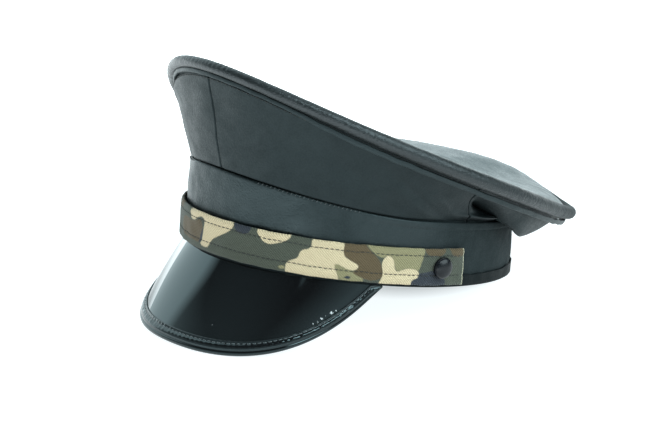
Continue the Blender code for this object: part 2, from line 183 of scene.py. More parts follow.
# Leather of the crown's wall: its two front quarters and its slack back, and the seams between them
PANEL_WALL = 0.0015
PANEL_TUCK = 0.0045
TUCK_ROWS = 5
SIDE_SEAM = math.radians(84.0)
SIDE_SEAM_SKEW = math.radians(16.0)
SEAM_GAP = 0.0003
SEAM_DIP = 0.0007
SEAM_WIDTH = 0.0004
SEAM_PUCKER = 0.14
SEAM_PUCKER_RATE = 41.0
SEAM_CURVE = math.radians(3.4)
SEAM_CURVE_WIDTH = math.radians(14.0)
FRONT_SEAM_LEAN = math.radians(2.5)
FRONT_SEAM_SPREAD = math.radians(25.0)

# Swell of the front panels' foot, out to the band's face, where the band has no folded edge
FOOT_SWELL = 0.0015
FOOT_START = 0.006
FOOT_TOP = 0.35
FOOT_TOP_FADE = 0.30
FOOT_END = BAND_FOLD_START + math.radians(8.0)
FOOT_END_FADE = math.radians(12.0)

# The slack back: it folds out over the band's edge, then hangs in a pouch behind a slanting edge
LEDGE_REACH = 0.0030
LEDGE_START = math.radians(112.0)
POUCH_DEPTH = 0.0126
POUCH_SWELL = 0.0040
POUCH_MIDDLE = 0.5
POUCH_EDGE_LOW = math.radians(106.0)
POUCH_EDGE_HIGH = math.radians(90.0)
POUCH_SOFTNESS = math.radians(9.0)

# Soft dents of the panels: angle at the roll and half width in degrees, place and half width up the panel
# as shares of its height, and depth as a share of POUCH_DEPTH, inward positive
PANEL_FOLDS = (
    # angle, angle_width, place, place_width, depth
    (94.0, 6.0, 0.50, 0.24, 1.15),
    (92.0, 9.0, 0.12, 0.07, -0.80),
    (-34.0, 24.0, 0.60, 0.45, -0.12),
    (-38.0, 16.0, 0.90, 0.14, -0.40),
    (-94.0, 9.0, 0.34, 0.40, 0.34),
    (76.0, 5.0, 0.40, 0.45, 0.05),
    (68.0, 7.0, 0.30, 0.40, -0.05),
    (-78.0, 9.0, 0.40, 0.45, 0.05),
    (148.0, 10.0, 0.62, 0.30, 0.10),
    (180.0, 10.0, 0.55, 0.35, -0.10),
    (-144.0, 10.0, 0.60, 0.30, 0.10),
)

# Creases beside the side seams: angle at the band and lean over the panel's height in degrees, half width
# in degrees, half length as a share of the height, and height as a share of PANEL_WALL, outward positive
SIDE_CREASES = (
    # angle, lean, width, reach, depth
    (80.0, 16.0, 1.5, 0.40, 0.50),
    (75.0, 22.0, 2.2, 0.45, -0.60),
    (70.0, 24.0, 2.0, 0.45, 0.45),
    (62.0, 30.0, 2.8, 0.50, -0.40),
    (52.0, 30.0, 3.2, 0.50, 0.18),
    (-80.0, -18.0, 2.0, 0.40, 0.40),
    (-74.0, -22.0, 2.2, 0.45, -0.35),
    (-64.0, -26.0, 2.8, 0.50, 0.25),
)
SIDE_CREASE_PLACE = 0.25

# Peak of patent leather
PEAK_HALF_ANGLE = math.radians(67.3)
PEAK_REACH = 0.0224
PEAK_DROP = 0.0507
PEAK_REACH_POWER = 1.39
PEAK_DROP_POWER = 0.92
PEAK_ROUNDNESS = 1.46
PEAK_CROWNING = 0.0012
PEAK_WALL = 0.0015
PEAK_SEAT = 0.0012
PEAK_TOP = 0.00006

# Binding round the peak's edge, with grooves along its stitches and its rim, and a puff between them where
# the peak is longer than BINDING_PUFF_START
BINDING_WIDTH = 0.0089
BINDING_WALL = 0.0007
BINDING_RUNOUT = 0.0010
BINDING_STITCH_BACK = 0.0071
BINDING_RIM = 0.0026
BINDING_PUFF = 0.00045
BINDING_PUFF_START = 0.020
BINDING_PUFF_FADE = 0.008
STITCH_GROOVE = 0.00026
STITCH_GROOVE_WIDTH = 0.0009
STITCH_PULL = 0.12
RIM_GROOVE = 0.00022
RIM_GROOVE_WIDTH = 0.0007
PUCKER = 0.00006
PUCKER_BACK = 0.0014
PUCKER_WIDTH = 0.0010

# A rubbed spot of the peak beside its binding, its middle and reach as shares of the peak's half angle
RUB_MIDDLE = 0.73
RUB_REACH = 0.17
RUB_BACK = 0.0014
RUB_WIDTH = 0.0026

# Stitches, and how far those of the binding sink into it
STITCH_PITCH = 0.0030
STITCH_LENGTH = 0.0023
THREAD_WIDTH = 0.00050
BINDING_SINK = 0.00028

# Small loops of thread along the band's top edge: where they lie round the head, their size and their slant
LOOP_START = math.radians(20.0)
LOOP_END = math.radians(58.0)
LOOP_PITCH = 0.0025
LOOP_LENGTH = 0.0015
LOOP_SLANT = 1.6

# The row of stitches on the front panels under the welt: how far round it runs, and how far below the roll
TOPSTITCH_END = math.radians(44.0)
TOPSTITCH_DROP = 0.0044

# Soft unevenness of each surface: height and length of the waves, and the seed that they are drawn from. The
# roll's heights are shares of its radius.
UNEVEN = {
    # surface: rows of height, length, seed
    "roll": ((0.012, 0.018, 3), (0.008, 0.007, 4)),
    "panel": ((0.00030, 0.030, 21), (0.00010, 0.011, 22)),
    "top": ((0.0006, 0.060, 31), (0.00018, 0.018, 32)),
    "band": ((0.00022, 0.026, 41), (0.00008, 0.009, 42)),
    "hem": ((0.00010, 0.010, 52),),
    "strap": ((0.00012, 0.009, 61),),
    "strap_edge": ((0.00018, 0.012, 62),),
    "peak": ((0.00010, 0.040, 71),),
}

# Gathers across each ring: fewest and most turns, and the seed that they are drawn from
GATHERS = {
    # ring: fewest, most, seed
    "roll": (150, 260, 5),
    "welt": (20, 70, 8),
    "top": (30, 110, 33),
    "hem": (14, 60, 51),
    "binding": (20, 90, 81),
}

# How finely each piece is drawn: steps along it and across it
STEPS = {
    # piece: along, across
    "roll": (1440, 32),
    "welt": (960, 24),
    "quarter": (200, 64),
    "rear": (400, 70),
    "top": (600, 56),
    "band": (680, 50),
    "strap": (520, 42),
    "snap": (64, 22),
    "peak": (240, 56),
}
HEM_STEPS = 720
BINDING_STEPS = 600
EDGE_STEPS = 4

# Panels of the crown's wall, each from one seam to the next
PANELS = (
    # piece, node, start, end, steps
    ("quarter_left_leather", "quarter_left", 0.0, SIDE_SEAM, STEPS["quarter"]),
    ("quarter_right_leather", "quarter_right", -SIDE_SEAM, 0.0, STEPS["quarter"]),
    ("rear_leather", "rear_panel", SIDE_SEAM, 2.0 * math.pi - SIDE_SEAM, STEPS["rear"]),
)

# How the hat lies: it leans back on its peak and on the back of its band
REST_LEAN = 0.2182326
REST_SHIFT = (0.0, -0.01154053, 0.02320928)

# The camera that took the photograph
CAMERA_SIDE = math.radians(50.0)
CAMERA_UP = math.radians(18.93832)
CAMERA_ROLL = math.radians(-0.8)
CAMERA_DISTANCE = 2.0
CAMERA_AIM_RISE = 0.060
CAMERA_OFFSET = (-0.014733, -0.040471)
CAMERA_LENS = 190.4
CAMERA_FILM = 36.0

# Middle of the painted shadow in the floor's glow under the hat, and the ways to the white backdrop behind
# the hat and to the small light high on the wearer's left
PAINTED_SHADOW_MIDDLE = (-0.012, 0.042, 0.0)
BACKDROP = (-0.80, 0.34, 0.50)
SOFTBOX = (0.640, -0.090, 0.763)

# Leathers: shine is the specular level, grain the size of a cell, and depth the height of the relief
DEEP_BLACK = (0.0040, 0.0056, 0.0060)
ROLL_BLACK = (0.0045, 0.0062, 0.0066)
TOP_BLACK = (0.0060, 0.0080, 0.0085)
COOL_SHINE = (0.73, 0.95, 1.0)
ROLL_SHINE = (0.88, 0.96, 1.0)
LEATHERS = {
    # piece: colour, roughness, shine, grain, depth, tint
    "body": (DEEP_BLACK, 0.56, 0.295, 0.0009, 0.00012, COOL_SHINE),
    "band": (DEEP_BLACK, 0.48, 0.44, 0.0009, 0.00017, COOL_SHINE),
    "hem": (DEEP_BLACK, 0.60, 0.09, 0.0009, 0.00012, COOL_SHINE),
    "roll": (ROLL_BLACK, 0.42, 0.50, 0.0010, 0.00028, ROLL_SHINE),
    "welt": (ROLL_BLACK, 0.50, 0.40, 0.0010, 0.00010, COOL_SHINE),
    "top": (TOP_BLACK, 0.45, 0.80, 0.0010, 0.00012, COOL_SHINE),
}
LEATHER_PATCHY = 0.12

# Extra roughness of worn leather, and where it is worn towards the back: how much, as a share of DULL, and
# from where and over what angle from the front, in degrees
DULL = 0.34
DULL_BACK = {
    # piece: dull, start, width
    "roll": (1.1, 122.0, 18.0),
    "band": (1.25, 86.0, 12.0),
}

# Places round the band where its leather is rubbed dull, or polished where negative: angle and half width in
# degrees, and share of DULL
BAND_GLOSS = (
    # angle, width, dull
    (-12.0, 10.0, 0.25),
    (19.0, 9.0, -0.32),
    (35.0, 6.0, -0.40),
    (51.0, 8.0, 0.60),
)

# Patent leather of the peak and of its binding, and the pale dust on it
PATENT_BLACK = (0.004, 0.004, 0.0045)
PATENT_ROUGHNESS = 0.045
PATENTS = {
    # piece: shine, wobble, specks
    "peak": (0.75, 0.00006, 1.0),
    "binding": (0.52, 0.00030, 0.3),
}
DUST = (0.55, 0.57, 0.58)

# Lacquer of the snaps
LACQUER = (
    # colour, roughness, shine, scale, depth
    (0.003, 0.004, 0.006), 0.26, 0.28, 400.0, 0.00001,
)

# Threads, and the size and depth of their fibres
THREADS = {
    # thread: colour, roughness, shine
    "dark_thread": ((0.012, 0.014, 0.013), 0.75, 0.5),
    # The binding's thread is grey, and its colour is made lighter still as painted glints along its stitches
    "grey_thread_and_glints": ((0.075, 0.088, 0.095), 0.35, 0.6),
    "loop_thread": ((0.030, 0.036, 0.038), 0.50, 0.5),
}
THREAD_FIBRES = 2500.0
THREAD_DEPTH = 0.0001

# Tint of the sun and of the surroundings, and of the floor's glow
COOL_LIGHT = (0.80, 0.97, 1.0)
FLOOR_LIGHT = (0.92, 0.98, 1.0)

# The strap's chart, in squares, 20.5 to the strap's width, counted along the strap from the middle of the
# front towards the left and up from its lower edge. Each patch is the outline of one blot of ink, and a
# distance to it is worked out within PATCH_REACH and is FAR_OFF elsewhere.
CHART_SQUARES = 20.5
CHART_REPEAT = 200.0
FAR_OFF = 99.0
PATCH_REACH = 3.0

# How far the cloth was pulled along under the print's blots, in squares, at places along the strap
CLOTH_PULL = (
    # place, pull
    (-30.0, -0.9),
    (-3.0, -0.9),
    (33.0, 1.7),
    (63.0, 3.9),
    (82.0, 3.4),
    (94.0, 4.0),
    (131.0, 4.5),
)

TAN_PATCHES = (
    ((-18.5, 22), (-19, 17.5), (-17, 15), (-13, 15), (-10, 17.5), (-6, 18.8), (-3.5, 17.5), (-3.6, 13),
     (-4, 7), (-6.5, 2.2), (1, 1.8), (2.5, 5.5), (5, 8.5), (10, 11.5), (15.5, 14.5), (18.5, 17),
     (20.5, 22)),
    ((34.5, 22), (35.5, 18.5), (38, 15.5), (41.5, 14), (46, 14.6), (51, 16.5), (54.5, 18.8), (56.5, 22)),
    ((67.5, 22), (68, 17), (65.5, 14.8), (62.5, 14), (61, 12), (60.5, 9), (57, 7), (54.5, 6), (53, 3),
     (53.5, -2), (84, -2), (82.5, 3), (80.2, 7.5), (82, 9), (85, 7.5), (89, 6), (93, 6.2), (95, 8),
     (94, 9.8), (91, 11), (86.5, 13), (85, 16), (86.5, 22)),
    ((109.5, 14), (111, 16), (114, 15.8), (116, 13), (116.5, 10), (117, 8), (119, 7), (121, 8),
     (125, 9.2), (130, 8.8), (132.5, 7.5), (133.5, 4), (127.5, -2), (107, -2), (108.5, 2.5), (109.7, 5),
     (109, 8), (108.3, 11)),
)
BROWN_PATCHES = (
    ((-29, 14), (-22, 14.8), (-17, 14.2), (-12, 15), (-9, 16.6), (-6, 16), (-4.4, 12), (-4.2, 8),
     (-5.5, 4.5), (-8, 3), (-14, 3.5), (-20, 3), (-29, 4), (-32, 9)),
    ((85.5, 22), (85, 16), (86.5, 13), (91, 11), (94, 9.8), (95, 8), (93.5, 6.4), (91, 5.2), (94, 3),
     (98, 1.5), (102, 0.8), (105.5, 1.2), (108.5, 2.5), (109.7, 5), (109, 8), (107.5, 12.5), (104, 16),
     (100, 19), (98, 22)),
    ((136, 22), (137, 18), (143, 16.8), (150, 17.2), (152, 22)),
    ((154, 22), (155, 18.5), (158, 16.5), (163, 16), (167, 18), (168, 22)),
)
GREEN_PATCHES = (
    ((80.2, 7.3), (81.6, 9.2), (84.6, 8.3), (88, 6.5), (91.5, 6), (93, 4), (98, 1.8), (98, -1), (84, -1),
     (82.5, 3)),
    ((98.5, 22), (100.5, 19), (104.5, 16.2), (107, 15), (109.2, 14.4), (111, 16), (114, 16), (116, 13),
     (116.8, 9), (119, 7), (121, 8), (125, 9.2), (130, 8.8), (132.5, 7.5), (134, 12), (136, 18),
     (136.5, 22)),
    ((48.6, 1.9), (50.5, 3.2), (53.2, 2.7), (52.8, 1.3), (50, 1.0)),
)
NAVY_PATCHES = (
    ((19.5, 22), (20.5, 18), (22.5, 16.5), (27, 16.3), (30, 17.8), (31.5, 22)),
    ((127.5, -2), (128, 2.2), (130.5, 3.2), (132.5, 4), (133, 6.5), (137, 7.5), (143, 8.5), (147, 6.2),
     (151, 4.6), (153, -2)),
    ((86, 1.4), (88, 2.7), (90.6, 2.2), (90, 0.9), (87.5, 0.7)),
    ((-8, 3.2), (-5.4, 3.6), (-4, 7.4), (-4, 12), (-5.2, 11.6), (-6.2, 7)),
)

# The print's ground, the inks laid over it one after another, the pale threads of the strap's cut ends, whose
# length is a share of its width, and the heights of the cloth's ribs and weave
DARK_OLIVE = (0.055, 0.062, 0.046)
INKS = (
    # ink, colour, patches
    ("light_green", (0.215, 0.195, 0.105), GREEN_PATCHES),
    ("tan", (0.520, 0.424, 0.272), TAN_PATCHES),
    ("brown", (0.087, 0.062, 0.032), BROWN_PATCHES),
    ("navy", (0.022, 0.027, 0.036), NAVY_PATCHES),
)
RAW_END = 0.018
RAW_THREADS = (0.55, 0.52, 0.38)
YARN_DEPTH = 0.00021
WEAVE_DEPTH = 0.00012


def unit(vectors):
    """Vectors along the last axis, scaled to length one."""
    return vectors / np.linalg.norm(vectors, axis=-1, keepdims=True)


def smooth_step(value):
    """Rises from 0 to 1 as the value goes from -1 to 1, level at both ends."""
    share = np.clip(0.5 + 0.5 * value, 0.0, 1.0)
    return share * share * (3.0 - 2.0 * share)


def bell(value):
    """One at zero, falling to nothing within about two either way."""
    return np.exp(-value ** 2)


def arch(share):
    """Half a sine wave over the shares from 0 to 1."""
    return np.sin(np.pi * np.clip(share, 0.0, 1.0))


def crowd(share, ease):
    """Shares from 0 to 1, moved towards both ends by a share of a sine wave."""
    return share - ease * np.sin(2.0 * math.pi * share) / (2.0 * math.pi)


def turn_apart(angle, centre):
    """The signed angle from centre, the short way round."""
    return (angle - centre + math.pi) % (2.0 * math.pi) - math.pi


def from_front(angle):
    """How far round an angle lies from the front, on either side."""
    return np.abs(turn_apart(angle, 0.0))


def past(angle, start, width):
    """Rises from 0 to 1 where an angle passes a start on its way round from the front, on either side."""
    return smooth_step((from_front(angle) - start) / width)


def bell_at(angle, centre, width):
    """A bell of the angle round a centre, with centre and half width in degrees."""
    return bell(turn_apart(angle, math.radians(centre)) / math.radians(width))


def travel_along(line):
    """Length travelled at each point of a line, from its first."""
    steps = np.linalg.norm(np.diff(line, axis=0), axis=-1)
    return np.concatenate([[0.0], np.cumsum(steps)])


def band_height(angle):
    """Height of the band's top edge: it rises to the front and drops a little to the back."""
    front = np.maximum(np.cos(angle), 0.0) ** 2
    back = np.maximum(-np.cos(angle), 0.0) ** 1.2
    return BAND_SIDE_HEIGHT + BAND_FRONT_RISE * front - BAND_BACK_DROP * back


def band_point(angle, height, offset=0.0):
    """A point of the band's oval at a height, moved straight out from the leather by the offset."""
    angle, height, offset = np.broadcast_arrays(angle, height, offset)
    normal_x = np.sin(angle) / BAND_HALF_WIDTH
    normal_y = -np.cos(angle) / BAND_HALF_LENGTH
    size = np.hypot(normal_x, normal_y)
    x = BAND_HALF_WIDTH * np.sin(angle) + offset * normal_x / size
    y = -BAND_HALF_LENGTH * np.cos(angle) + offset * normal_y / size - BAND_LEAN * height
    return np.stack([x, y, height], axis=-1)


def straight_out(angle):
    """The direction straight out from the band's leather, of length one."""
    return band_point(angle, 0.0, 1.0) - band_point(angle, 0.0, 0.0)


def band_length(angle):
    """Length along the band's oval from the front, added up over small steps of the angle."""
    fine = np.linspace(-math.pi, math.pi, 4001)
    total = travel_along(band_point(fine, 0.0))
    return np.interp(angle, fine, total - total[2000])


def roll_centre(angle):
    """Centre line of the roll: an egg-shaped oval whose height swells in waves and kinks at the back."""
    point = CROWN_POINT * np.cos(4.0 * angle)
    x = (CROWN_HALF_WIDTH + CROWN_EGG * np.cos(angle) + point) * np.sin(angle)
    y = CROWN_SETBACK - (CROWN_HALF_LENGTH + point) * np.cos(angle)
    height = sum(c * np.cos(n * angle) + s * np.sin(n * angle) for n, c, s in ROLL_HEIGHT_WAVES)
    for centre, width, lift in ROLL_KINKS:
        height = height + lift * bell_at(angle, centre, width)
    return np.stack([x, y, CROWN_HEIGHT + CROWN_RISE * height], axis=-1)


def roll_radius(angle):
    """Radius of the roll, fuller at the sides than in front and behind."""
    return ROLL_RADIUS * sum(share * np.cos(turns * angle) for turns, share in ROLL_RADIUS_WAVES)


def roll_frame(angle):
    """Unit vectors out of, up from and along the roll."""
    step = 1e-4
    along = unit(roll_centre(angle + step) - roll_centre(angle - step))
    out = unit(np.stack([along[..., 1], -along[..., 0], np.zeros_like(angle)], axis=-1))
    return out, np.cross(out, along), along


def foot_angle(angle):
    """Where the line up a panel to this angle on the roll leaves the band: further back at the sides."""
    return angle + SIDE_SEAM_SKEW * np.sin(angle) * np.abs(np.sin(angle)) / math.sin(SIDE_SEAM) ** 2


def panel_foot(angle, rise):
    """A panel's foot: behind the band's edge, or folded out over it where the back hangs slack."""
    start = foot_angle(angle)
    behind = -BAND_WALL - GAP
    over = past(start, LEDGE_START, POUCH_SOFTNESS)
    height = band_height(start) + (1.0 + rise) * GAP + over * (PANEL_WALL + GAP)
    return band_point(start, height, behind + rise * over * (LEDGE_REACH - behind))


def panel_head(angle):
    """Direction from the roll's centre to a panel: towards the panel's foot, lower where the back hangs."""
    along = roll_frame(angle)[2]
    towards = panel_foot(angle, 1.0) - roll_centre(angle)
    towards[..., 2] -= 2.0 * POUCH_DEPTH * past(angle, POUCH_EDGE_HIGH, POUCH_SOFTNESS)
    return unit(towards - along * (towards * along).sum(axis=-1, keepdims=True))


def pouch(angle, place):
    """How far the slack back hangs, as a share: none in front of a slanting edge, deepest near the band."""
    edge = POUCH_EDGE_LOW + (POUCH_EDGE_HIGH - POUCH_EDGE_LOW) * place
    belly = place ** 0.4 * (1.0 - place) ** 1.3
    sideways = POUCH_MIDDLE + (1.0 - POUCH_MIDDLE) * np.sin(angle) ** 2
    return past(angle, edge, POUCH_SOFTNESS) * sideways * belly / belly.max()


def folds(angle, place):
    """Sum of the soft dents in PANEL_FOLDS, each a bell in angle and in height."""
    total = np.zeros(np.broadcast(angle, place).shape)
    for centre, width, middle, spread_up, depth in PANEL_FOLDS:
        total += depth * POUCH_DEPTH * bell_at(angle, centre, width) * bell((place - middle) / spread_up)
    return total * arch(place)


def side_creases(angle, place):
    """Sum of the creases in SIDE_CREASES: slanting ridges that fade up and forward from the side seam, where
    the slack back pulls, each a bell across and a bell along."""
    total = np.zeros(np.broadcast(angle, place).shape)
    for centre, lean, width, reach, depth in SIDE_CREASES:
        line = turn_apart(angle, math.radians(centre)) + math.radians(lean) * place
        along = (place - SIDE_CREASE_PLACE) / reach
        total += depth * PANEL_WALL * bell(line / math.radians(width)) * bell(along)
    return total * arch(place) ** 0.5


def peak_half(share):
    """The peak's reach and drop at a share of its half angle, from 1 in the middle to 0 at a corner."""
    fullness = np.cos(0.5 * np.pi * np.abs(share) ** PEAK_ROUNDNESS)
    return PEAK_REACH * fullness ** PEAK_REACH_POWER, PEAK_DROP * fullness ** PEAK_DROP_POWER


def peak_length(share):
    """Length of the peak's slope at a share of its half angle."""
    return np.hypot(*peak_half(share))


def peak_point(share, depth):
    """A point of the peak's face, at a distance down from the band along the slope."""
    reach, drop = peak_half(share)
    length = peak_length(share)
    part = depth / length
    swell = PEAK_CROWNING * arch(part) * length / np.hypot(PEAK_REACH, PEAK_DROP)
    angle = PEAK_HALF_ANGLE * share
    point = band_point(angle, 0.0, HEM_FACE - PEAK_SEAT + reach * part + swell)
    point[..., 2] -= drop * part
    return point


def peak_normal(share, depth):
    """The direction straight out of the peak's face."""
    step = 1e-5
    down = peak_point(share, depth + step) - peak_point(share, depth - step)
    across = peak_point(share + step, depth) - peak_point(share - step, depth)
    return unit(np.cross(across, -down))


def corner_share(length):
    """The share of the half angle at which the peak is this long, found by halving."""
    low, high = 0.5, 1.0
    for _ in range(40):
        middle = 0.5 * (low + high)
        low, high = (middle, high) if peak_length(middle) > length else (low, middle)
    return low


def strap_stand(angle):
    """How far the strap's outer face stands off the band: it bows out in front."""
    return STRAP_FACE + STRAP_SLACK * np.maximum(np.cos(angle), 0.0) ** 4


def lay_down(points):
    """Points of the upright hat as it rests: turned back by REST_LEAN about the x axis, then shifted."""
    x, y, z = points[..., 0], points[..., 1], points[..., 2]
    cos = math.cos(REST_LEAN)
    sin = math.sin(REST_LEAN)
    turned = np.stack([x, y * cos + z * sin, z * cos - y * sin], axis=-1)
    return turned + np.array(REST_SHIFT)


def all_round(steps):
    """Angles all the way round the head."""
    return np.arange(steps) * (2.0 * math.pi / steps)


def waves(points, length, seed, count=12):
    """Mostly between -1 and 1: a sum of sine waves through space with seeded headings, phases, and lengths
    from 0.6 to 1.6 times the given one."""
    chance = np.random.default_rng(seed)
    heading = unit(chance.normal(size=(count, 3)))
    speed = 2.0 * math.pi / (length * chance.uniform(0.6, 1.6, count))
    phase = chance.uniform(0.0, 2.0 * math.pi, count)
    total = np.zeros(points.shape[:-1])
    for way, rate, start in zip(heading, speed, phase):
        total += np.sin((points @ way) * rate + start)
    return total / math.sqrt(count)


def uneven(points, surface):
    """Soft unevenness of a surface: the heights in its rows of UNEVEN times waves of their lengths."""
    return sum(height * waves(points, length, seed) for height, length, seed in UNEVEN[surface])


def gathers(angle, ring, count=14):
    """Creases across a ring: a sum of cosine waves with whole numbers of turns, so that it closes."""
    fewest, most, seed = GATHERS[ring]
    chance = np.random.default_rng(seed)
    turns = chance.integers(fewest, most, count)
    phase = chance.uniform(0.0, 2.0 * math.pi, count)
    total = np.zeros(np.shape(angle))
    for number, start in zip(turns, phase):
        total = total + np.cos(number * angle + start)
    return total / math.sqrt(count)


def dull_back(angle, piece):
    """How dull a piece's leather is worn: none in front, and its share of DULL from its start on."""
    dull, start, width = DULL_BACK[piece]
    return dull * past(angle, math.radians(start), math.radians(width))


def grid_normals(points, whole_round):
    """Unit normals of a grid, by the cross product of its steps along both ways."""
    if whole_round:
        across = np.roll(points, -1, axis=0) - np.roll(points, 1, axis=0)
    else:
        across = np.gradient(points, axis=0)
    return unit(np.cross(across, np.gradient(points, axis=1)))


def grid_quads(columns, rows, round_columns, round_rows):
    """Four-sided faces of a grid, closed round either way."""
    i = np.arange(columns if round_columns else columns - 1)[:, None]
    j = np.arange(rows if round_rows else rows - 1)[None, :]
    i_next = (i + 1) % columns
    j_next = (j + 1) % rows
    corners = (i * rows + j, i_next * rows + j, i_next * rows + j_next, i * rows + j_next)
    return np.stack(np.broadcast_arrays(*corners), axis=-1).reshape(-1, 4)


def fan(first, second, hub):
    """Triangles from each side of a ring, given by its two ends, to a hub."""
    return np.stack([first, second, np.full(len(first), hub)], axis=-1)


def outward(points, faces):
    """Turns the faces round if the closed surface's volume, summed over its faces, is negative."""
    volume = 0.0
    for corners in faces:
        a = points[corners[:, 0]]
        for k in range(1, corners.shape[1] - 1):
            b = points[corners[:, k]]
            c = points[corners[:, k + 1]]
            volume += float((a * np.cross(b, c)).sum())
    return [corners[:, ::-1] for corners in faces] if volume < 0.0 else faces


def make_piece(name, points, faces, finish, node=None, values=None, sharp=40.0):
    """Makes one closed piece of the hat from its points in the upright frame and lists of faces. It takes the
    place of a node, if one is named, and carries values for its finish."""
    laid = lay_down(points.reshape(-1, 3))
    turned = outward(laid, faces)
    mesh = bpy.data.meshes.new(name)
    mesh.from_pydata(laid.tolist(), [], [corner for part in turned for corner in part.tolist()])
    for label, value in (values or {}).items():
        flat = value.ndim == 1
        layer = mesh.attributes.new(label, "FLOAT" if flat else "FLOAT_VECTOR", "POINT")
        layer.data.foreach_set("value" if flat else "vector", value.astype(np.float32).ravel())
    mesh.update()
    mesh.shade_smooth()
    mesh.set_sharp_from_angle(angle=math.radians(sharp))
    mesh.materials.append(finish)
    piece = bpy.data.objects.new(name, mesh)
    bpy.context.scene.collection.objects.link(piece)
    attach(piece, "root")
    if node:
        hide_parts(node)
    return piece


def tube(name, sections, whole_round, finish, node, values=None):
    """A piece through cross-sections that are closed loops of points. Where it doesn't go all the way round,
    each end is closed by a strip that pairs the loop's two sides."""
    columns, rows = sections.shape[:2]
    faces = [grid_quads(columns, rows, whole_round, True)]
    if not whole_round:
        j = np.arange(rows // 2 - 1)
        strip = np.stack([j, j + 1, rows - 2 - j, rows - 1 - j], axis=-1)
        faces.append(strip)
        faces.append(strip[:, ::-1] + (columns - 1) * rows)
    return make_piece(name, sections, faces, finish, node, values)


def round_edge(border, neighbour, normal, wall):
    """Points on a half circle from a sheet's outer face round its edge to its inner face."""
    away = border - neighbour
    away = unit(away - normal * (away * normal).sum(axis=-1, keepdims=True))
    turn = math.pi * np.arange(1, EDGE_STEPS + 1) / (EDGE_STEPS + 1)
    middle = (border - 0.5 * wall * normal)[:, None]
    lift = np.cos(turn)[None, :, None] * normal[:, None]
    reach = np.sin(turn)[None, :, None] * away[:, None]
    return middle + 0.5 * wall * (lift + reach)


def wall_loops(outer, wall, whole_round):
    """Cross-sections of a sheet with a wall: its outer face, a half-round edge, its inner face and a
    half-round edge again, starting at the middle of the first edge."""
    normal = grid_normals(outer, whole_round)
    inner = outer - wall * normal
    first = round_edge(outer[:, 0], outer[:, 1], normal[:, 0], wall)
    last = round_edge(outer[:, -1], outer[:, -2], normal[:, -1], wall)
    half = EDGE_STEPS // 2
    start = first[:, :half][:, ::-1]
    end = first[:, half:][:, ::-1]
    return np.concatenate([start, outer, last, inner[:, ::-1], end], axis=1)


def loop_values(grid):
    """A value of each point of a sheet, laid out as wall_loops lays out its points."""
    first = np.repeat(grid[:, :1], EDGE_STEPS // 2, axis=1)
    last = np.repeat(grid[:, -1:], EDGE_STEPS, axis=1)
    return np.concatenate([first, grid, last, grid[:, ::-1], first], axis=1)


def rows_between(first, last, count):
    """Even steps from one column of values to another, as rows of a grid."""
    share = np.linspace(0.0, 1.0, count)
    return first[:, None] + (last - first)[:, None] * share[None, :]


# Finishes


def new_finish(name, colour, roughness, shine, tint=(1.0, 1.0, 1.0)):
    """A Principled finish with its node tree."""
    finish = bpy.data.materials.new(name)
    finish.use_nodes = True
    finish.diffuse_color = (*colour, 1.0)
    shader = finish.node_tree.nodes["Principled BSDF"]
    shader.inputs["Base Color"].default_value = (*colour, 1.0)
    shader.inputs["Roughness"].default_value = roughness
    shader.inputs["Specular IOR Level"].default_value = shine
    shader.inputs["Specular Tint"].default_value = (*tint, 1.0)
    return finish, finish.node_tree, shader


def plug(tree, socket, value):
    """Gives a socket a fixed value, or a link from another node's output."""
    if isinstance(value, bpy.types.NodeSocket):
        tree.links.new(value, socket)
    else:
        socket.default_value = value


def add_node(tree, kind, inputs):
    """A new node, with its inputs plugged by name."""
    node = tree.nodes.new(kind)
    for label, value in inputs.items():
        plug(tree, node.inputs[label], value)
    return node


def own_place(tree):
    """The piece's own coordinates, in metres."""
    return tree.nodes.new("ShaderNodeTexCoord").outputs["Object"]


def carried(tree, name):
    """A value carried by the mesh."""
    layer = tree.nodes.new("ShaderNodeAttribute")
    layer.attribute_name = name
    return layer.outputs["Fac"]


def cloud(tree, place, scale, detail=2.0, rough=0.5):
    """Noise over a place, mostly between 0.3 and 0.7."""
    inputs = {"Vector": place, "Scale": scale, "Detail": detail, "Roughness": rough}
    return add_node(tree, "ShaderNodeTexNoise", inputs).outputs["Fac"]


def noise(tree, scale, detail=2.0, rough=0.5, stretch=(1.0, 1.0, 1.0)):
    """Noise over the piece's own place, stretched along the axes."""
    mapping = add_node(tree, "ShaderNodeMapping", {"Vector": own_place(tree), "Scale": stretch})
    return cloud(tree, mapping.outputs["Vector"], scale, detail, rough)


def cells(tree, scale, kind="F1"):
    """Distance to the nearest of many scattered points over the piece's own place."""
    web = tree.nodes.new("ShaderNodeTexVoronoi")
    web.feature = kind
    plug(tree, web.inputs["Scale"], scale)
    plug(tree, web.inputs["Vector"], own_place(tree))
    return web.outputs["Distance"]


def spread(tree, value, low, high, new_low, new_high):
    """Maps a value from one range to another, held within it."""
    inputs = {"Value": value, "From Min": low, "From Max": high, "To Min": new_low, "To Max": new_high}
    return add_node(tree, "ShaderNodeMapRange", inputs).outputs["Result"]


def combine(tree, kind, *values):
    """One sum on several values, taken one after another, each a number or a socket."""
    total = values[0]
    for value in values[1:]:
        step = tree.nodes.new("ShaderNodeMath")
        step.operation = kind
        plug(tree, step.inputs[0], total)
        plug(tree, step.inputs[1], value)
        total = step.outputs["Value"]
    return total


def vector_sum(tree, kind, first, second):
    """A number from a vector and a fixed one: their dot product, or the distance between them."""
    step = tree.nodes.new("ShaderNodeVectorMath")
    step.operation = kind
    plug(tree, step.inputs[0], first)
    plug(tree, step.inputs[1], second)
    return step.outputs["Value"]


def toward(tree, place, way, *levels):
    """Maps how far a place lies along a way, by the four numbers that spread takes."""
    return spread(tree, vector_sum(tree, "DOT_PRODUCT", place, way), *levels)


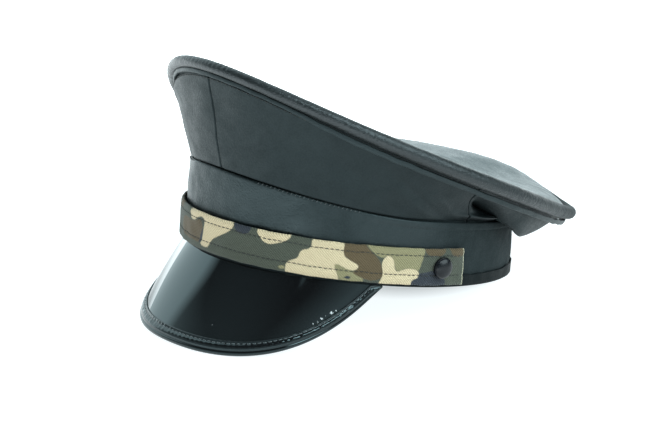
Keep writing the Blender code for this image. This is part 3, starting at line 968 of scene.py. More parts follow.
def mix_colour(tree, share, first, second):
    """A colour between two, each a colour or a socket."""
    mix = tree.nodes.new("ShaderNodeMix")
    mix.data_type = "RGBA"
    plug(tree, mix.inputs["Factor"], share)
    for label, value in (("A", first), ("B", second)):
        socket = [s for s in mix.inputs if s.name == label and s.type == "RGBA"][0]
        plug(tree, socket, (*value, 1.0) if isinstance(value, tuple) else value)
    return [s for s in mix.outputs if s.type == "RGBA"][0]


def relief(tree, shader, height, distance, strength, under=None):
    """Bumps a finish by a height between 0 and 1 times a distance in metres, on top of another relief."""
    inputs = {"Strength": strength, "Distance": distance, "Height": height}
    if under is not None:
        inputs["Normal"] = under
    bump = add_node(tree, "ShaderNodeBump", inputs)
    plug(tree, shader.inputs["Normal"], bump.outputs["Normal"])
    return bump.outputs["Normal"]


def mottled(tree, shader, share, colour, darker, lighter):
    """Colours a finish between a darker and a lighter tone of one colour."""
    dark = tuple(c * darker for c in colour)
    light = tuple(c * lighter for c in colour)
    tone = spread(tree, share, 0.3, 0.7, 0.0, 1.0)
    plug(tree, shader.inputs["Base Color"], mix_colour(tree, tone, dark, light))


def leather(name, colour, roughness, shine, grain, depth, tint):
    """Grained leather: small rounded cells with pores between them, softly uneven in tone and gloss, and
    rougher by a share of DULL where the mesh carries one."""
    finish, tree, shader = new_finish(name, colour, roughness, shine, tint)
    mottled(tree, shader, noise(tree, 55.0, 3.0), colour, 1.0 - LEATHER_PATCHY, 1.0 + LEATHER_PATCHY)
    broad = spread(tree, noise(tree, 120.0, 3.0), 0.3, 0.7, -0.05, 0.05)
    fine = spread(tree, noise(tree, 1.0 / grain), 0.35, 0.65, -0.06, 0.06)
    worn = combine(tree, "MULTIPLY", carried(tree, "dull"), DULL)
    plug(tree, shader.inputs["Roughness"], combine(tree, "ADD", broad, roughness, fine, worn))
    web = spread(tree, cells(tree, 1.0 / grain, "SMOOTH_F1"), 0.0, 0.8, 1.0, 0.0)
    under = relief(tree, shader, web, depth, 0.6)
    relief(tree, shader, noise(tree, 0.45 / grain, 3.0, 0.6), 2.0 * depth, 0.5, under)
    return finish


def patent(name, shine, wobble, specks):
    """Patent leather: black under a hard gloss, hardly uneven, with a few pale specks of dust, and more of
    them where the mesh says that it is rubbed."""
    finish, tree, shader = new_finish(name, PATENT_BLACK, PATENT_ROUGHNESS, shine, COOL_SHINE)
    dots = spread(tree, cells(tree, 230.0), 0.03, 0.06, 1.0, 0.0)
    rare = spread(tree, noise(tree, 60.0), 0.62, 0.66, 0.0, specks)
    scratches = noise(tree, 650.0, 3.0, 0.7, (1.0, 1.0, 0.4))
    rubbed = combine(tree, "MULTIPLY", scratches, carried(tree, "rubbed"))
    dusty = combine(tree, "MULTIPLY", dots, rare)
    dusty = combine(tree, "MAXIMUM", dusty, spread(tree, rubbed, 0.505, 0.56, 0.0, 1.0))
    plug(tree, shader.inputs["Base Color"], mix_colour(tree, dusty, PATENT_BLACK, DUST))
    relief(tree, shader, noise(tree, 38.0, 2.0, 0.4, (1.0, 1.0, 0.35)), wobble, 1.0)
    return finish


def camouflage_cloth():
    """Printed twill: four inks and the cut ends' pale threads over a dark ground, each where the mesh says
    that it lies, with ragged woven edges, slanting ribs of yarn, and a matte nap."""
    finish, tree, shader = new_finish("camouflage_cloth", DARK_OLIVE, 0.88, 0.25)
    shader.inputs["Sheen Weight"].default_value = 0.15
    shader.inputs["Sheen Roughness"].default_value = 0.5
    layer = tree.nodes.new("ShaderNodeAttribute")
    layer.attribute_name = "cloth_place"
    where = layer.outputs["Vector"]
    yarn = tree.nodes.new("ShaderNodeTexWave")
    yarn.wave_type = "BANDS"
    yarn.bands_direction = "DIAGONAL"
    ribs = {"Vector": where, "Scale": 0.40, "Distortion": 0.8, "Detail": 1.0, "Detail Scale": 1.5}
    for label, value in ribs.items():
        plug(tree, yarn.inputs[label], value)
    cross = cloud(tree, where, 1.6)
    ragged = spread(tree, cross, 0.3, 0.7, -0.35, 0.35)
    colour = DARK_OLIVE
    for ink, tint in [row[:2] for row in INKS] + [("raw_end", RAW_THREADS)]:
        edge = combine(tree, "ADD", carried(tree, ink), ragged)
        colour = mix_colour(tree, spread(tree, edge, -0.25, 0.25, 1.0, 0.0), colour, tint)
    weave = spread(tree, yarn.outputs["Fac"], 0.0, 1.0, 0.66, 1.17)
    mottle = spread(tree, cross, 0.3, 0.7, 0.88, 1.10)
    toned = tree.nodes.new("ShaderNodeVectorMath")
    toned.operation = "SCALE"
    plug(tree, toned.inputs[0], colour)
    plug(tree, toned.inputs["Scale"], combine(tree, "MULTIPLY", weave, mottle))
    plug(tree, shader.inputs["Base Color"], toned.outputs["Vector"])
    under = relief(tree, shader, yarn.outputs["Fac"], YARN_DEPTH, 0.8)
    relief(tree, shader, cross, WEAVE_DEPTH, 0.5, under)
    return finish


def plain_finish(name, colour, roughness, shine, scale, depth):
    """A small part's finish: its colour, a little uneven, with a fine relief."""
    finish, tree, shader = new_finish(name, colour, roughness, shine)
    rough = noise(tree, scale)
    mottled(tree, shader, rough, colour, 0.8, 1.25)
    relief(tree, shader, rough, depth, 0.6)
    return finish


# Pieces


def build_roll(finish):
    """The roll: circles carried along its centre line. The radius swells in soft lumps, and the leather's
    upper half is gathered in fine creases across it, most of all at the tight front curve. The leather is
    duller at the back."""
    columns, rows = STEPS["roll"]
    angle = all_round(columns)
    turn = all_round(rows)
    out, up, _ = roll_frame(angle)
    ring = out[:, None] * np.cos(turn)[None, :, None] + up[:, None] * np.sin(turn)[None, :, None]
    centre = roll_centre(angle)
    radius = roll_radius(angle)[:, None]
    plain = centre[:, None] + ring * radius[..., None]
    upper = smooth_step(1.6 * np.sin(turn) + 0.3)[None, :]
    tight = sum(depth * bell_at(angle, place, width) for place, width, depth in ROLL_GATHERS)[:, None]
    lumps = uneven(plain, "roll") + gathers(angle, "roll")[:, None] * upper * tight
    sections = centre[:, None] + ring * (radius * (1.0 + lumps))[..., None]
    dull = np.repeat(dull_back(angle, "roll"), rows)
    return tube("roll_leather", sections, True, finish, "rim_roll", {"dull": dull})


def flattened(value, power):
    """A sine or cosine raised to a power with its sign kept, so that a circle turns into a rounded box."""
    return np.sign(value) * np.abs(value) ** power


def build_welt(finish):
    """The welt: a flat strip with rounded edges under the roll, tucked close at the front and standing a
    little lower and further out towards the back, so that a dark gap opens above it."""
    columns, rows = STEPS["welt"]
    angle = all_round(columns)
    along = roll_frame(angle)[2]
    heading = panel_head(angle)
    face = np.cross(heading, along)
    bend = (WELT_TURN - WELT_TURN_LESS * bell_at(angle, WELT_TURN_PLACE, WELT_TURN_WIDTH))[:, None]
    turned = heading * np.cos(bend) + face * np.sin(bend)
    side = np.cross(along, turned)
    open_gap = past(angle, WELT_OPEN, WELT_OPEN_FADE)
    distance = roll_radius(angle) + GAP - WELT_CLOSE * (1.0 - open_gap) + 0.5 * WELT_HEIGHT
    distance = distance + WELT_DROP * open_gap + WELT_WAVE * gathers(angle, "welt")
    centre = roll_centre(angle) + turned * distance[:, None]
    turn = all_round(rows)
    tall = 0.5 * WELT_HEIGHT * (1.0 + WELT_FATTER * open_gap)[:, None] * flattened(np.cos(turn), 0.35)
    broad = 0.5 * WELT_THICKNESS * flattened(np.sin(turn), 0.7)[None, :]
    sections = centre[:, None] + turned[:, None] * tall[..., None] + side[:, None] * broad[..., None]
    return tube("welt_leather", sections, True, finish, "rim_welt")


def panel_face(angles, rows):
    """Outer face of a crown panel from its tuck behind the band up to the roll: straight lines from foot to
    head, which bend beside the side seams and lean beside the front one, moved out by the pouch, the creases
    and the foot's swell, in by the dents and by a groove under the welt, and let down by the pouch."""
    place = crowd(np.linspace(0.0, 1.0, rows), 0.85)[None, :]
    beside = bell((from_front(angles) - SIDE_SEAM) / SEAM_CURVE_WIDTH) * np.sign(turn_apart(angles, 0.0))
    ahead = bell(turn_apart(angles, 0.0) / FRONT_SEAM_SPREAD)
    curve = SEAM_CURVE * beside[:, None] * (place ** 1.4 - 0.12)
    lean = FRONT_SEAM_LEAN * ahead[:, None] * (1.0 - place)
    angle = angles[:, None] + curve + lean
    foot = panel_foot(angle, 1.0)
    head = roll_centre(angle) + panel_head(angle) * (roll_radius(angle) + GAP)[..., None]
    face = foot + (head - foot) * place[..., None]
    hang = pouch(angle, place)
    flat_fold = smooth_step((FOOT_END - from_front(angle)) / FOOT_END_FADE)
    swell = smooth_step((place - FOOT_START) / FOOT_START)
    swell = swell * smooth_step((FOOT_TOP - place) / FOOT_TOP_FADE) * flat_fold
    below = (1.0 - place) * np.linalg.norm(head - foot, axis=-1)
    groove = WELT_GROOVE * bell((below - WELT_HEIGHT) / (0.5 * WELT_HEIGHT))
    moved = POUCH_SWELL * hang - folds(angle, place) + uneven(face, "panel") * arch(place) ** 0.5
    moved = moved + side_creases(angle, place) + FOOT_SWELL * swell - groove
    face = face + straight_out(foot_angle(angle)) * moved[..., None]
    face[..., 2] -= POUCH_DEPTH * hang
    begin = foot_angle(angle[:, 0])
    low = band_point(begin, band_height(begin) - PANEL_TUCK, -BAND_WALL - GAP)[:, None]
    lip = panel_foot(angle[:, 0], 0.0)[:, None]
    tuck = low + (lip - low) * np.linspace(0.0, 1.0, TUCK_ROWS)[None, :, None]
    return np.concatenate([tuck, face], axis=1), np.concatenate([np.zeros((1, TUCK_ROWS)), place], axis=1)


def build_panel(name, node, start, end, steps, finish):
    """A panel of the crown's wall from one seam to the next, its columns closer together near both. Its edges
    turn in by a bell of the distance to the seam, deeper and shallower again where the stitches pull."""
    columns, rows = steps
    short = 0.5 * SEAM_GAP / BAND_HALF_WIDTH
    angles = start + short + (end - start - 2.0 * short) * crowd(np.linspace(0.0, 1.0, columns), 0.9)
    face, place = panel_face(angles, rows)
    apart = np.minimum(*[np.linalg.norm(face - face[[column]], axis=-1) for column in (0, -1)])
    dip = SEAM_DIP * bell(apart / SEAM_WIDTH) * (1.0 + SEAM_PUCKER * np.sin(place * SEAM_PUCKER_RATE))
    face = face - grid_normals(face, False) * dip[..., None]
    return tube(name, wall_loops(face, PANEL_WALL, False), False, finish, node)


def build_top(finish):
    """The crown's top: straight lines from the roll in to the middle, which sags, eased level inside
    TOP_DISH so that the lines don't meet in a point, with a puff at the back, soft unevenness, and short
    creases running in from the roll. The plane that lies closest to the edge keeps its slope throughout."""
    columns, rings = STEPS["top"]
    angles = all_round(columns)
    out, up, _ = roll_frame(angles)
    entry = (TOP_ENTRY + TOP_ENTRY_BACK * past(angles, TOP_ENTRY_START, TOP_ENTRY_FADE))[:, None]
    inward = up * np.sin(entry) - out * np.cos(entry)
    edge = roll_centre(angles) + inward * (roll_radius(angles) + GAP)[:, None]
    middle = edge.mean(axis=0)
    middle[2] -= TOP_SAG
    share = (np.arange(rings, 0, -1) / rings)[None, :] ** 0.8
    sheet = middle + (edge[:, None] - middle) * share[..., None]
    inner = np.minimum(share / TOP_DISH, 1.0)
    eased = share * inner * (2.0 - inner)
    spokes = edge[:, :2] - middle[:2]
    slope = np.linalg.lstsq(spokes, edge[:, 2] - edge[:, 2].mean(), rcond=None)[0]
    off_plane = edge[:, 2] - middle[2] - spokes @ slope
    sheet[..., 2] = middle[2] + (sheet[..., :2] - middle[:2]) @ slope + off_plane[:, None] * eased
    swell = eased * (1.0 - share ** 11)
    back = (np.maximum(-np.cos(angles), 0.0) ** 1.2)[:, None]
    soft = uneven(sheet, "top")
    from_edge = (1.0 - share) / TOP_CREASE_REACH
    crease = gathers(angles, "top")[:, None] * bell(from_edge) * from_edge
    sheet[..., 2] += TOP_PUFF * back * swell / swell.max() + soft * (1.0 - share ** 6) * eased
    sheet[..., 2] += TOP_CREASE * crease
    normal = grid_normals(sheet, True)
    normal = normal * np.sign(normal[..., 2:])
    loops = np.concatenate([sheet, (sheet - TOP_WALL * normal)[:, ::-1]], axis=1)
    rows = 2 * rings
    hub = columns * rows
    hub_top = middle + np.array([0.0, 0.0, soft[:, -1].mean() * share[0, -1]])
    points = np.vstack([loops.reshape(-1, 3), hub_top, hub_top - np.array([0.0, 0.0, TOP_WALL])])
    quads = grid_quads(columns, rows, True, True)
    bridge = np.isin(quads % rows, [rings - 1, rings]).all(axis=1)
    i = np.arange(columns) * rows + rings
    onward = np.roll(i, -1)
    faces = [quads[~bridge], fan(i - 1, onward - 1, hub), fan(onward, i, hub + 1)]
    return make_piece("crown_top_leather", points, faces, finish, "crown_top")


def build_band(finish):
    """The band: its face rises from the fold of its binding, with a folded edge along the top that swells
    out over a dark seam, and a few soft creases. Its leather is rubbed dull and polished in places."""
    columns, rows = STEPS["band"]
    angle = all_round(columns)
    height = rows_between(np.full_like(angle, HEM_FACE), band_height(angle) - 0.5 * BAND_WALL, rows)
    from_seam = BAND_FOLD - (band_height(angle)[:, None] - height)
    stands = past(angle, BAND_FOLD_START, BAND_FOLD_FADE)[:, None]
    fold = smooth_step(from_seam / BAND_FOLD_STEP) - BAND_FOLD_SEAM * bell(from_seam / BAND_FOLD_STEP)
    offset = BAND_FOLD_SWELL * stands * fold + uneven(band_point(angle[:, None], height, 0.0), "band")
    share = height / BAND_SIDE_HEIGHT
    for centre, lean, width, low, high, depth in BAND_CREASES:
        line = turn_apart(angle, math.radians(centre))[:, None] + math.radians(lean) * share
        for inside in (share - low, high - share):
            depth = depth * smooth_step(inside / BAND_CREASE_FADE)
        offset = offset + depth * BAND_WALL * bell(line / math.radians(width))
    free = smooth_step((height - HEM_HEIGHT - BAND_FREE) / BAND_FREE)
    loops = wall_loops(band_point(angle[:, None], height, offset * free), BAND_WALL, True)
    worn = dull_back(angle, "band")
    for centre, width, dull in BAND_GLOSS:
        worn = worn + dull * bell_at(angle, centre, width)
    dull = np.repeat(worn, loops.shape[1])
    return tube("band_leather", loops, True, finish, "band", {"dull": dull})


def build_hem(finish):
    """The hem: a strip folded round the band's bottom edge. Its section runs down the outside, round the
    bottom on rounded corners and up the inside, and comes back along its inner face."""
    angle = all_round(HEM_STEPS)
    inner = -BAND_WALL - GAP
    back = inner - HEM_WALL
    side = (HEM_HEIGHT - HEM_LIP, 0.6 * HEM_HEIGHT, HEM_BEND)
    lining = (HEM_HEIGHT, 0.5 * HEM_HEIGHT, HEM_WALL)
    turns = np.radians([15.0, 45.0, 75.0])
    outline = [(h, HEM_FACE) for h in side]
    outline += [(HEM_BEND * (1.0 - math.sin(t)), HEM_FACE - HEM_BEND * (1.0 - math.cos(t))) for t in turns]
    outline += [(0.0, 0.5 * (HEM_FACE + back))]
    outline += [(HEM_BEND * (1.0 - math.cos(t)), back + HEM_BEND * (1.0 - math.sin(t))) for t in turns]
    outline += [(h, back) for h in side[::-1]]
    outline += [(HEM_HEIGHT, back + 0.3 * HEM_WALL)] + [(h, inner) for h in lining]
    outline += [(h, GAP) for h in lining[::-1]] + [(HEM_HEIGHT, HEM_FACE - 0.3 * HEM_WALL)]
    height, offset = np.array(outline).T[:, None, :]
    edge = smooth_step((height - 0.55 * HEM_HEIGHT) / (0.3 * HEM_HEIGHT))
    rise = HEM_WAVE * gathers(angle, "hem")[:, None] * edge
    soft = uneven(band_point(angle[:, None], height, offset), "hem") * (offset > 0.5 * HEM_FACE)
    sections = band_point(angle[:, None], height + rise, offset + soft)
    return tube("hem_leather", sections, True, finish, "band_hem")


def rounded_outline(corners, rounds=2):
    """A patch's outline with its corners cut off again and again, a quarter in from each end of each side."""
    line = np.array(corners, float)
    for _ in range(rounds):
        onward = np.roll(line, -1, axis=0)
        line = np.stack([0.75 * line + 0.25 * onward, 0.25 * line + 0.75 * onward], axis=1).reshape(-1, 2)
    return line


def outside_patch(along, up, outline):
    """Distance of each point to an outline's nearest side, negative where a ray to the right crosses the
    outline an odd number of times."""
    nearest = np.full(along.shape, FAR_OFF)
    within = np.zeros(along.shape, bool)
    for (x0, y0), (x1, y1) in zip(outline, np.roll(outline, -1, axis=0)):
        dx = x1 - x0
        dy = y1 - y0
        share = np.clip(((along - x0) * dx + (up - y0) * dy) / (dx * dx + dy * dy), 0.0, 1.0)
        nearest = np.minimum(nearest, np.hypot(along - x0 - share * dx, up - y0 - share * dy))
        if abs(dy) > 1e-9:
            within ^= ((y0 > up) != (y1 > up)) & (along < x0 + (up - y0) * dx / dy)
    return np.where(within, -nearest, nearest)


def ink_distance(along, up, patches):
    """How far points lie outside the nearest of an ink's patches, in squares, negative inside. The cloth's
    print starts again every CHART_REPEAT squares."""
    best = np.full(along.shape, FAR_OFF)
    for corners in patches:
        outline = rounded_outline(corners)
        for repeat in (-CHART_REPEAT, 0.0, CHART_REPEAT):
            shifted = outline + np.array([repeat, 0.0])
            near = along > shifted[:, 0].min() - PATCH_REACH
            near = near & (along < shifted[:, 0].max() + PATCH_REACH)
            if near.any():
                best[near] = np.minimum(best[near], outside_patch(along[near], up[near], shifted))
    return best


def strap_face(angle, share):
    """A point of the strap's outer face at a share of its width: it puffs between its two rows of stitches
    and its edges, and dips along each row."""
    stand = strap_stand(angle)
    plain = band_point(angle, STRAP_LIFT + STRAP_WIDTH * share, stand)
    puff = uneven(plain, "strap")
    for row in STRAP_STITCHES:
        puff = puff - STRAP_STITCH_DIP * bell((share - row) / STRAP_STITCH_REACH)
    for from_edge in (share, 1.0 - share):
        puff = puff - STRAP_EDGE_DIP * bell(from_edge / STRAP_EDGE_REACH)
    edge = uneven(plain * np.array([1.0, 1.0, 0.0]), "strap_edge")
    return band_point(angle, STRAP_LIFT + STRAP_WIDTH * share + edge, stand + puff)


def build_strap(finish):
    """The strap: a doubled strip of cloth round the front, with the camouflage's ink distances and its own
    place on the cloth carried by the mesh."""
    columns, rows = STEPS["strap"]
    angle = np.linspace(-STRAP_END, STRAP_END, columns)[:, None]
    share = np.linspace(0.0, 1.0, rows)[None, :]
    loops = wall_loops(strap_face(angle, share), STRAP_THICKNESS, False)
    along = np.broadcast_to(band_length(angle), (columns, rows)) / STRAP_WIDTH * CHART_SQUARES
    up = np.broadcast_to(share, (columns, rows)) * CHART_SQUARES
    pulled = along + np.interp(along, *zip(*CLOTH_PULL))
    values = {ink: loop_values(ink_distance(pulled, up, patches)).ravel() for ink, _, patches in INKS}
    values["raw_end"] = loop_values(along.max() - np.abs(along) - RAW_END * CHART_SQUARES).ravel()
    place = np.stack([loop_values(part) for part in (along, up, np.zeros_like(up))], axis=-1)
    values["cloth_place"] = place.reshape(-1, 3)
    strap = tube("strap_cloth", loops, False, finish, "strap", values)
    length = 2.0 * float(band_length(STRAP_END))
    return strap


def build_snap(name, side, finish):
    """A snap's cap: a smooth dome with a thin collar, its profile spun round the snap's axis."""
    columns, bends = STEPS["snap"]
    bend = np.linspace(0.0, 0.5 * math.pi, bends)
    dome_r = 0.96 * SNAP_RADIUS * np.sin(bend)
    dome_z = SNAP_COLLAR + (SNAP_HEIGHT - SNAP_COLLAR) * np.cos(bend) ** 0.92
    radius = np.concatenate([dome_r[1:], SNAP_RADIUS * np.array([0.985, 1.0, 1.0, 0.97])])
    height = np.concatenate([dome_z[1:], SNAP_COLLAR * np.array([0.95, 0.75, 0.25, 0.0])])
    turn = all_round(columns)[:, None, None]
    angle = side * SNAP_ANGLE
    seat = band_point(angle, STRAP_LIFT + 0.5 * STRAP_WIDTH, strap_stand(angle) + GAP)
    axis = straight_out(angle)
    flat = unit(np.cross(axis, np.array([0.0, 0.0, 1.0])))
    ring = flat * np.cos(turn) + np.cross(axis, flat) * np.sin(turn)
    grid = seat + ring * radius[None, :, None] + axis * height[None, :, None]
    rows = len(radius)
    hub = columns * rows
    points = np.vstack([grid.reshape(-1, 3), seat + axis * dome_z[0], seat])
    i = np.arange(columns) * rows
    onward = np.roll(i, -1)
    faces = [grid_quads(columns, rows, True, False), fan(onward, i, hub)]
    faces.append(fan(i + rows - 1, onward + rows - 1, hub + 1))
    return make_piece(name + "_cap", points, faces, finish, name)


def build_peak(finish):
    """The peak: a curved sheet from the hem down into the fold of its binding, hardly wavy, with a spot
    beside the binding where it is rubbed."""
    columns, rows = STEPS["peak"]
    reach = corner_share(0.45 * BINDING_WIDTH)
    share = np.linspace(-reach, reach, columns)
    length = peak_length(share)
    depth = rows_between(np.full_like(length, PEAK_TOP), length - BINDING_WALL - GAP, rows)
    grid = np.broadcast_to(share[:, None], depth.shape)
    outer = peak_point(grid, depth)
    normal = peak_normal(grid, depth)
    outer = outer + normal * uneven(outer, "peak")[..., None]
    sections = np.concatenate([outer, (outer - normal * PEAK_WALL)[:, ::-1]], axis=1)
    from_edge = length[:, None] - depth - BINDING_WIDTH
    rub = bell((grid - RUB_MIDDLE) / RUB_REACH) * bell((from_edge - RUB_BACK) / RUB_WIDTH)
    rubbed = np.concatenate([rub, np.zeros_like(rub)], axis=1).ravel()
    return tube("peak_patent", sections, False, finish, "peak", {"rubbed": rubbed})


def binding_profile():
    """The binding's section as distances back from the peak's edge, as shares of its width, and lifts off
    the face: along the outside, round the edge on a half circle, back along the underside, and in again
    along the lining."""
    middle = -0.5 * PEAK_WALL
    skin = BINDING_WALL + GAP
    radius = 0.5 * PEAK_WALL + skin
    inside = radius - BINDING_WALL
    flange = np.concatenate([[1.0, 0.985], np.linspace(0.96, 0.20, 26)])
    lift = np.full_like(flange, skin)
    lift[:2] = GAP + np.array([0.2, 0.75]) * BINDING_WALL
    fold = np.radians(np.linspace(75.0, -75.0, 9))
    lining = np.radians([-60.0, 0.0, 60.0])
    fold_back = (radius - radius * np.cos(fold)) / BINDING_WIDTH
    lining_back = (radius - inside * np.cos(lining)) / BINDING_WIDTH
    under = 2.0 * middle - lift[::-1]
    back = [flange, fold_back, flange[::-1], [1.0, 0.5, 0.2], lining_back, [0.2, 0.5, 1.0]]
    rise = [lift, middle + radius * np.sin(fold), under, [2.0 * middle - GAP] * 3,
            middle + inside * np.sin(lining), [GAP] * 3]
    return np.concatenate(back), np.concatenate(rise)


def binding_at(share, back, rise):
    """A point of the binding at a share of the peak's half angle: narrower where the peak runs out."""
    length = peak_length(share)
    depth = length - back * np.minimum(BINDING_WIDTH, length - PEAK_TOP)
    return peak_point(share, depth) + peak_normal(share, depth) * rise[..., None]


def binding_row(rise):
    """The line of the binding's stitches at a lift off the face: shares of the half angle, and points."""
    reach = corner_share(BINDING_STITCH_BACK + 2.0 * THREAD_WIDTH)
    fine = np.linspace(-reach, reach, 3001)
    back = np.full_like(fine, BINDING_STITCH_BACK / BINDING_WIDTH)
    return fine, binding_at(fine, back, np.full_like(fine, rise))


def build_binding(finish):
    """The binding, with a groove along its stitches that is deeper at each stitch, so that the patent puckers
    between them, a groove along its rim, and a puff between the two."""
    reach = corner_share(BINDING_RUNOUT)
    share = np.linspace(-reach, reach, BINDING_STEPS)
    back, rise = binding_profile()
    fine, line = binding_row(0.0)
    travel = np.interp(share, fine, travel_along(line))
    beat = np.cos(2.0 * math.pi * travel / STITCH_PITCH)[:, None]
    drift = gathers(share * math.pi, "binding")[:, None]
    from_row = (back * BINDING_WIDTH - BINDING_STITCH_BACK)[None, :]
    from_rim = (back * BINDING_WIDTH - BINDING_RIM)[None, :]
    stitched = STITCH_GROOVE * bell(from_row / STITCH_GROOVE_WIDTH) * (1.0 + STITCH_PULL * beat)
    groove = stitched + RIM_GROOVE * bell(from_rim / RIM_GROOVE_WIDTH)
    full = smooth_step((peak_length(share) - BINDING_PUFF_START) / BINDING_PUFF_FADE)[:, None]
    puff = BINDING_PUFF * arch(from_rim / (BINDING_STITCH_BACK - BINDING_RIM)) * full
    pucker = PUCKER * bell((np.abs(from_row) - PUCKER_BACK) / PUCKER_WIDTH) * (-0.6 * beat + drift)
    outside = (rise > 0.9 * BINDING_WALL)[None, :]
    lift = rise[None, :] + (pucker + puff - groove) * outside
    sections = binding_at(*np.broadcast_arrays(share[:, None], back[None, :]), lift)
    return tube("binding_patent", sections, False, finish, "peak_binding")


def sew(name, line, normal, finish, pitch=STITCH_PITCH, length=STITCH_LENGTH, way=1.0, slant=0.0):
    """A row of stitches at an even pitch along a line of many points: each a slim bead of thread, six-sided,
    whose rings swell and rise towards the middle and whose ends dip into the material. Each lies along the
    line, or against it where way is -1, and a slant tips it up."""
    travel = travel_along(line)
    stops = np.arange(0.5 * pitch, travel[-1], pitch)

    def at_stops(values):
        return np.stack([np.interp(stops, travel, values[:, k]) for k in range(3)], axis=-1)

    spots = at_stops(line)[:, None, None]
    upright = unit(at_stops(normal))
    heading = unit(at_stops(unit(np.gradient(line, axis=0))))
    heading = unit(way * heading + np.array([0.0, 0.0, slant]))
    side = np.cross(upright, heading)[:, None, None]
    upright = upright[:, None, None]
    step = np.array([-0.5, -0.42, -0.16, 0.16, 0.42, 0.5])[None, :, None, None]
    swell = np.array([0.15, 0.75, 1.0, 1.0, 0.75, 0.15])[None, :, None, None]
    turn = all_round(6)[None, None, :, None]
    along = heading[:, None, None] * step * length
    rise = upright * 0.35 * THREAD_WIDTH * (1.0 - (2.0 * step) ** 4)
    ring = side * np.cos(turn) * 0.5 * THREAD_WIDTH + upright * np.sin(turn) * 0.38 * THREAD_WIDTH
    beads = spots + along + rise + ring * swell
    end = np.array([[3, 2, 1, 0], [5, 4, 3, 0]])
    pattern = np.vstack([grid_quads(6, 6, False, True), end, end[:, ::-1] + 30])
    faces = (pattern[None] + 36 * np.arange(len(stops))[:, None, None]).reshape(-1, 4)
    return make_piece(name, beads, [faces], finish, sharp=80.0)


def sew_strap(finish):
    """The two rows of dark stitches along the strap."""
    reach = STRAP_END - STRAP_STITCH_MARGIN
    angle = np.linspace(-reach, reach, 1500)[:, None]
    for label, row in zip(("lower", "upper"), STRAP_STITCHES):
        face = strap_face(angle, np.array([row - 0.01, row, row + 0.01])[None, :])
        normal = grid_normals(face, False)[:, 1]
        sew("strap_stitches_" + label, face[:, 1], normal, finish)


def sew_binding(finish):
    """The row of stitches along the binding's inner edge."""
    lift = BINDING_WALL + GAP - BINDING_SINK
    line = binding_row(lift)[1]
    sew("binding_stitches", line, binding_row(lift + 0.001)[1] - line, finish)


def sew_band(finish):
    """Small slanting loops of thread that hold the band's top edge to the front panels, on both sides."""
    for label, side in (("left", 1.0), ("right", -1.0)):
        angle = side * np.linspace(LOOP_START, LOOP_END, 600)
        line = band_point(angle, band_height(angle) - 0.25 * LOOP_LENGTH, 0.0)
        sew("band_loops_" + label, line, straight_out(angle), finish,
            LOOP_PITCH, LOOP_LENGTH, side, LOOP_SLANT)


def sew_panels(finish):
    """A row of stitches on the front panels, at one distance below the roll."""
    angle = np.linspace(-TOPSTITCH_END, TOPSTITCH_END, 500)
    face, _ = panel_face(angle, STEPS["quarter"][1])
    down = np.linalg.norm(face - face[:, -1:], axis=-1)[:, ::-1]

    def at_drop(grid):
        rows = [[np.interp(TOPSTITCH_DROP, far, column[:, k]) for k in range(3)]
                for far, column in zip(down, grid[:, ::-1])]
        return np.array(rows)

    sew("panel_stitches", at_drop(face), unit(at_drop(grid_normals(face, False))), finish)


def build_hat():
    """Makes every finish and every piece."""
    skins = {piece: leather("leather_" + piece, *row) for piece, row in LEATHERS.items()}
    patents = {piece: patent("patent_" + piece, *row) for piece, row in PATENTS.items()}
    lacquer = plain_finish("black_lacquer", *LACQUER)
    cloth = camouflage_cloth()
    threads = {name: plain_finish(name, *row, THREAD_FIBRES, THREAD_DEPTH) for name, row in THREADS.items()}
    build_roll(skins["roll"])
    build_welt(skins["welt"])
    for row in PANELS:
        build_panel(*row, skins["body"])
    build_top(skins["top"])
    build_band(skins["band"])
    build_hem(skins["hem"])
    build_strap(cloth)
    build_snap("snap_left", 1, lacquer)
    build_snap("snap_right", -1, lacquer)
    build_peak(patents["peak"])
    build_binding(patents["binding"])
    sew_strap(threads["dark_thread"])
    sew_binding(threads["grey_thread_and_glints"])
    sew_band(threads["loop_thread"])
    sew_panels(threads["dark_thread"])


# Studio


def set_camera():
    """Stands the camera where the photograph was taken from: to the left, above, and slightly rolled."""
    side, rise = CAMERA_SIDE, CAMERA_UP
    back = np.array([math.sin(side) * math.cos(rise), -math.cos(side) * math.cos(rise), math.sin(rise)])
    level = np.array([math.cos(side), math.sin(side), 0.0])
    above = np.cross(back, level)
    right = level * math.cos(CAMERA_ROLL) + above * math.sin(CAMERA_ROLL)
    up = above * math.cos(CAMERA_ROLL) - level * math.sin(CAMERA_ROLL)
    aim = np.array(REST_SHIFT) + np.array([0.0, 0.0, CAMERA_AIM_RISE])
    place = aim + CAMERA_DISTANCE * back + CAMERA_OFFSET[0] * right + CAMERA_OFFSET[1] * up
    lens = bpy.data.cameras.new("camera")
    lens.lens = CAMERA_LENS
    lens.sensor_width = CAMERA_FILM
    lens.clip_end = 60.0
    camera = bpy.data.objects.new("camera", lens)
    bpy.context.scene.collection.objects.link(camera)
    columns = np.stack([right, up, back, place], axis=1)
    camera.matrix_world = Matrix([*columns.tolist(), (0.0, 0.0, 0.0, 1.0)])
    bpy.context.scene.camera = camera


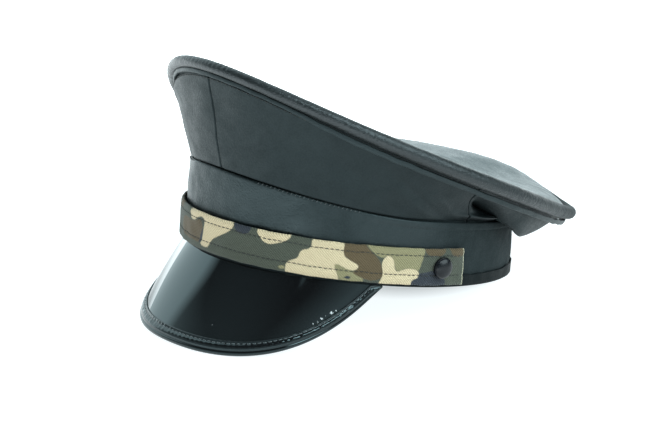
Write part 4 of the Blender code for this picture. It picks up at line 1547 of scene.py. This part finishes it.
def set_floor():
    """A pale floor, wide enough to fill the view, whose glow is painted light: it grows away from the hat, is
    brightest behind it, ends on one side in painted shade, and is dimmed under the hat in a painted shadow."""
    mesh = bpy.data.meshes.new("floor")
    half = 25.0
    corners = [(-half, -half, 0.0), (half, -half, 0.0), (half, half, 0.0), (-half, half, 0.0)]
    mesh.from_pydata(corners, [], [(0, 1, 2, 3)])
    floor = bpy.data.objects.new("floor", mesh)
    bpy.context.scene.collection.objects.link(floor)
    finish, tree, shader = new_finish("glowing_floor", (0.45, 0.45, 0.45), 0.9, 0.0)
    shader.inputs["Emission Color"].default_value = (*FLOOR_LIGHT, 1.0)
    place = own_place(tree)
    # The floor's glow is painted light, brightest behind the hat and growing away from it
    behind = toward(tree, place, (-0.92, 0.39, 0.0), 0.22, 0.50, 0.0, 3.0)
    # Painted shade: the glow fades almost out on the side towards the wearer's left and the back
    painted_shade_aside = toward(tree, place, (0.55, 0.84, 0.0), 0.21, 0.26, 1.0, 0.06)
    from_hat = vector_sum(tree, "DISTANCE", place, PAINTED_SHADOW_MIDDLE)
    apart = spread(tree, from_hat, 0.19, 0.32, 0.97, 2.2)
    # Painted shadow: the glow is dimmed round the middle under the hat
    under = spread(tree, from_hat, 0.046, 0.064, 0.62, 1.0)
    glow = combine(tree, "MAXIMUM", behind, combine(tree, "MULTIPLY", painted_shade_aside, apart))
    plug(tree, shader.inputs["Emission Strength"], combine(tree, "MULTIPLY", glow, under))
    floor.data.materials.append(finish)


def add_sun(name, strength, spread_angle, heading, rise):
    """A broad soft light from far off, by the way it stands round the hat and above it, in degrees."""
    light = bpy.data.lights.new(name, "SUN")
    light.color = COOL_LIGHT
    light.energy = strength
    light.angle = math.radians(spread_angle)
    lamp = bpy.data.objects.new(name, light)
    lamp.rotation_euler = (math.radians(90.0 - rise), 0.0, math.radians(heading))
    bpy.context.scene.collection.objects.link(lamp)


def set_surroundings():
    """A white backdrop behind the hat and on the wearer's right, a small bright light high on the wearer's
    left, low walls all round, brighter in front, and dim light from in front and from overhead."""
    world = bpy.data.worlds.new("studio")
    world.use_nodes = True
    bpy.context.scene.world = world
    tree = world.node_tree
    background = tree.nodes["Background"]
    place = tree.nodes.new("ShaderNodeTexCoord").outputs["Generated"]
    height = vector_sum(tree, "DOT_PRODUCT", place, (0.0, 0.0, 1.0))
    front = vector_sum(tree, "DOT_PRODUCT", place, (0.0, -1.0, 0.0))
    side = spread(tree, front, -0.6, 0.0, 0.03, 0.66)
    low = combine(tree, "MULTIPLY", spread(tree, height, 0.34, 0.66, 1.0, 0.0), side)
    ahead = spread(tree, front, 0.42, 0.80, 0.035, 0.22)
    overhead = spread(tree, height, 0.78, 0.94, 0.0, 0.16)
    backdrop = toward(tree, place, BACKDROP, 0.55, 0.70, 0.0, 1.95)
    bar = toward(tree, place, SOFTBOX, 0.945, 0.970, 0.0, 8.5)
    softbox = combine(tree, "MULTIPLY", bar, spread(tree, height, 0.695, 0.735, 0.0, 1.0))
    background.inputs["Color"].default_value = (*COOL_LIGHT, 1.0)
    wall = combine(tree, "MAXIMUM", low, ahead, overhead, backdrop, softbox)
    plug(tree, background.inputs["Strength"], wall)


set_camera()
set_floor()
set_surroundings()
add_sun("side_light", 2.85, 50.0, 121.0, 30.0)
bpy.context.scene.view_settings.view_transform = "Standard"
build_hat()
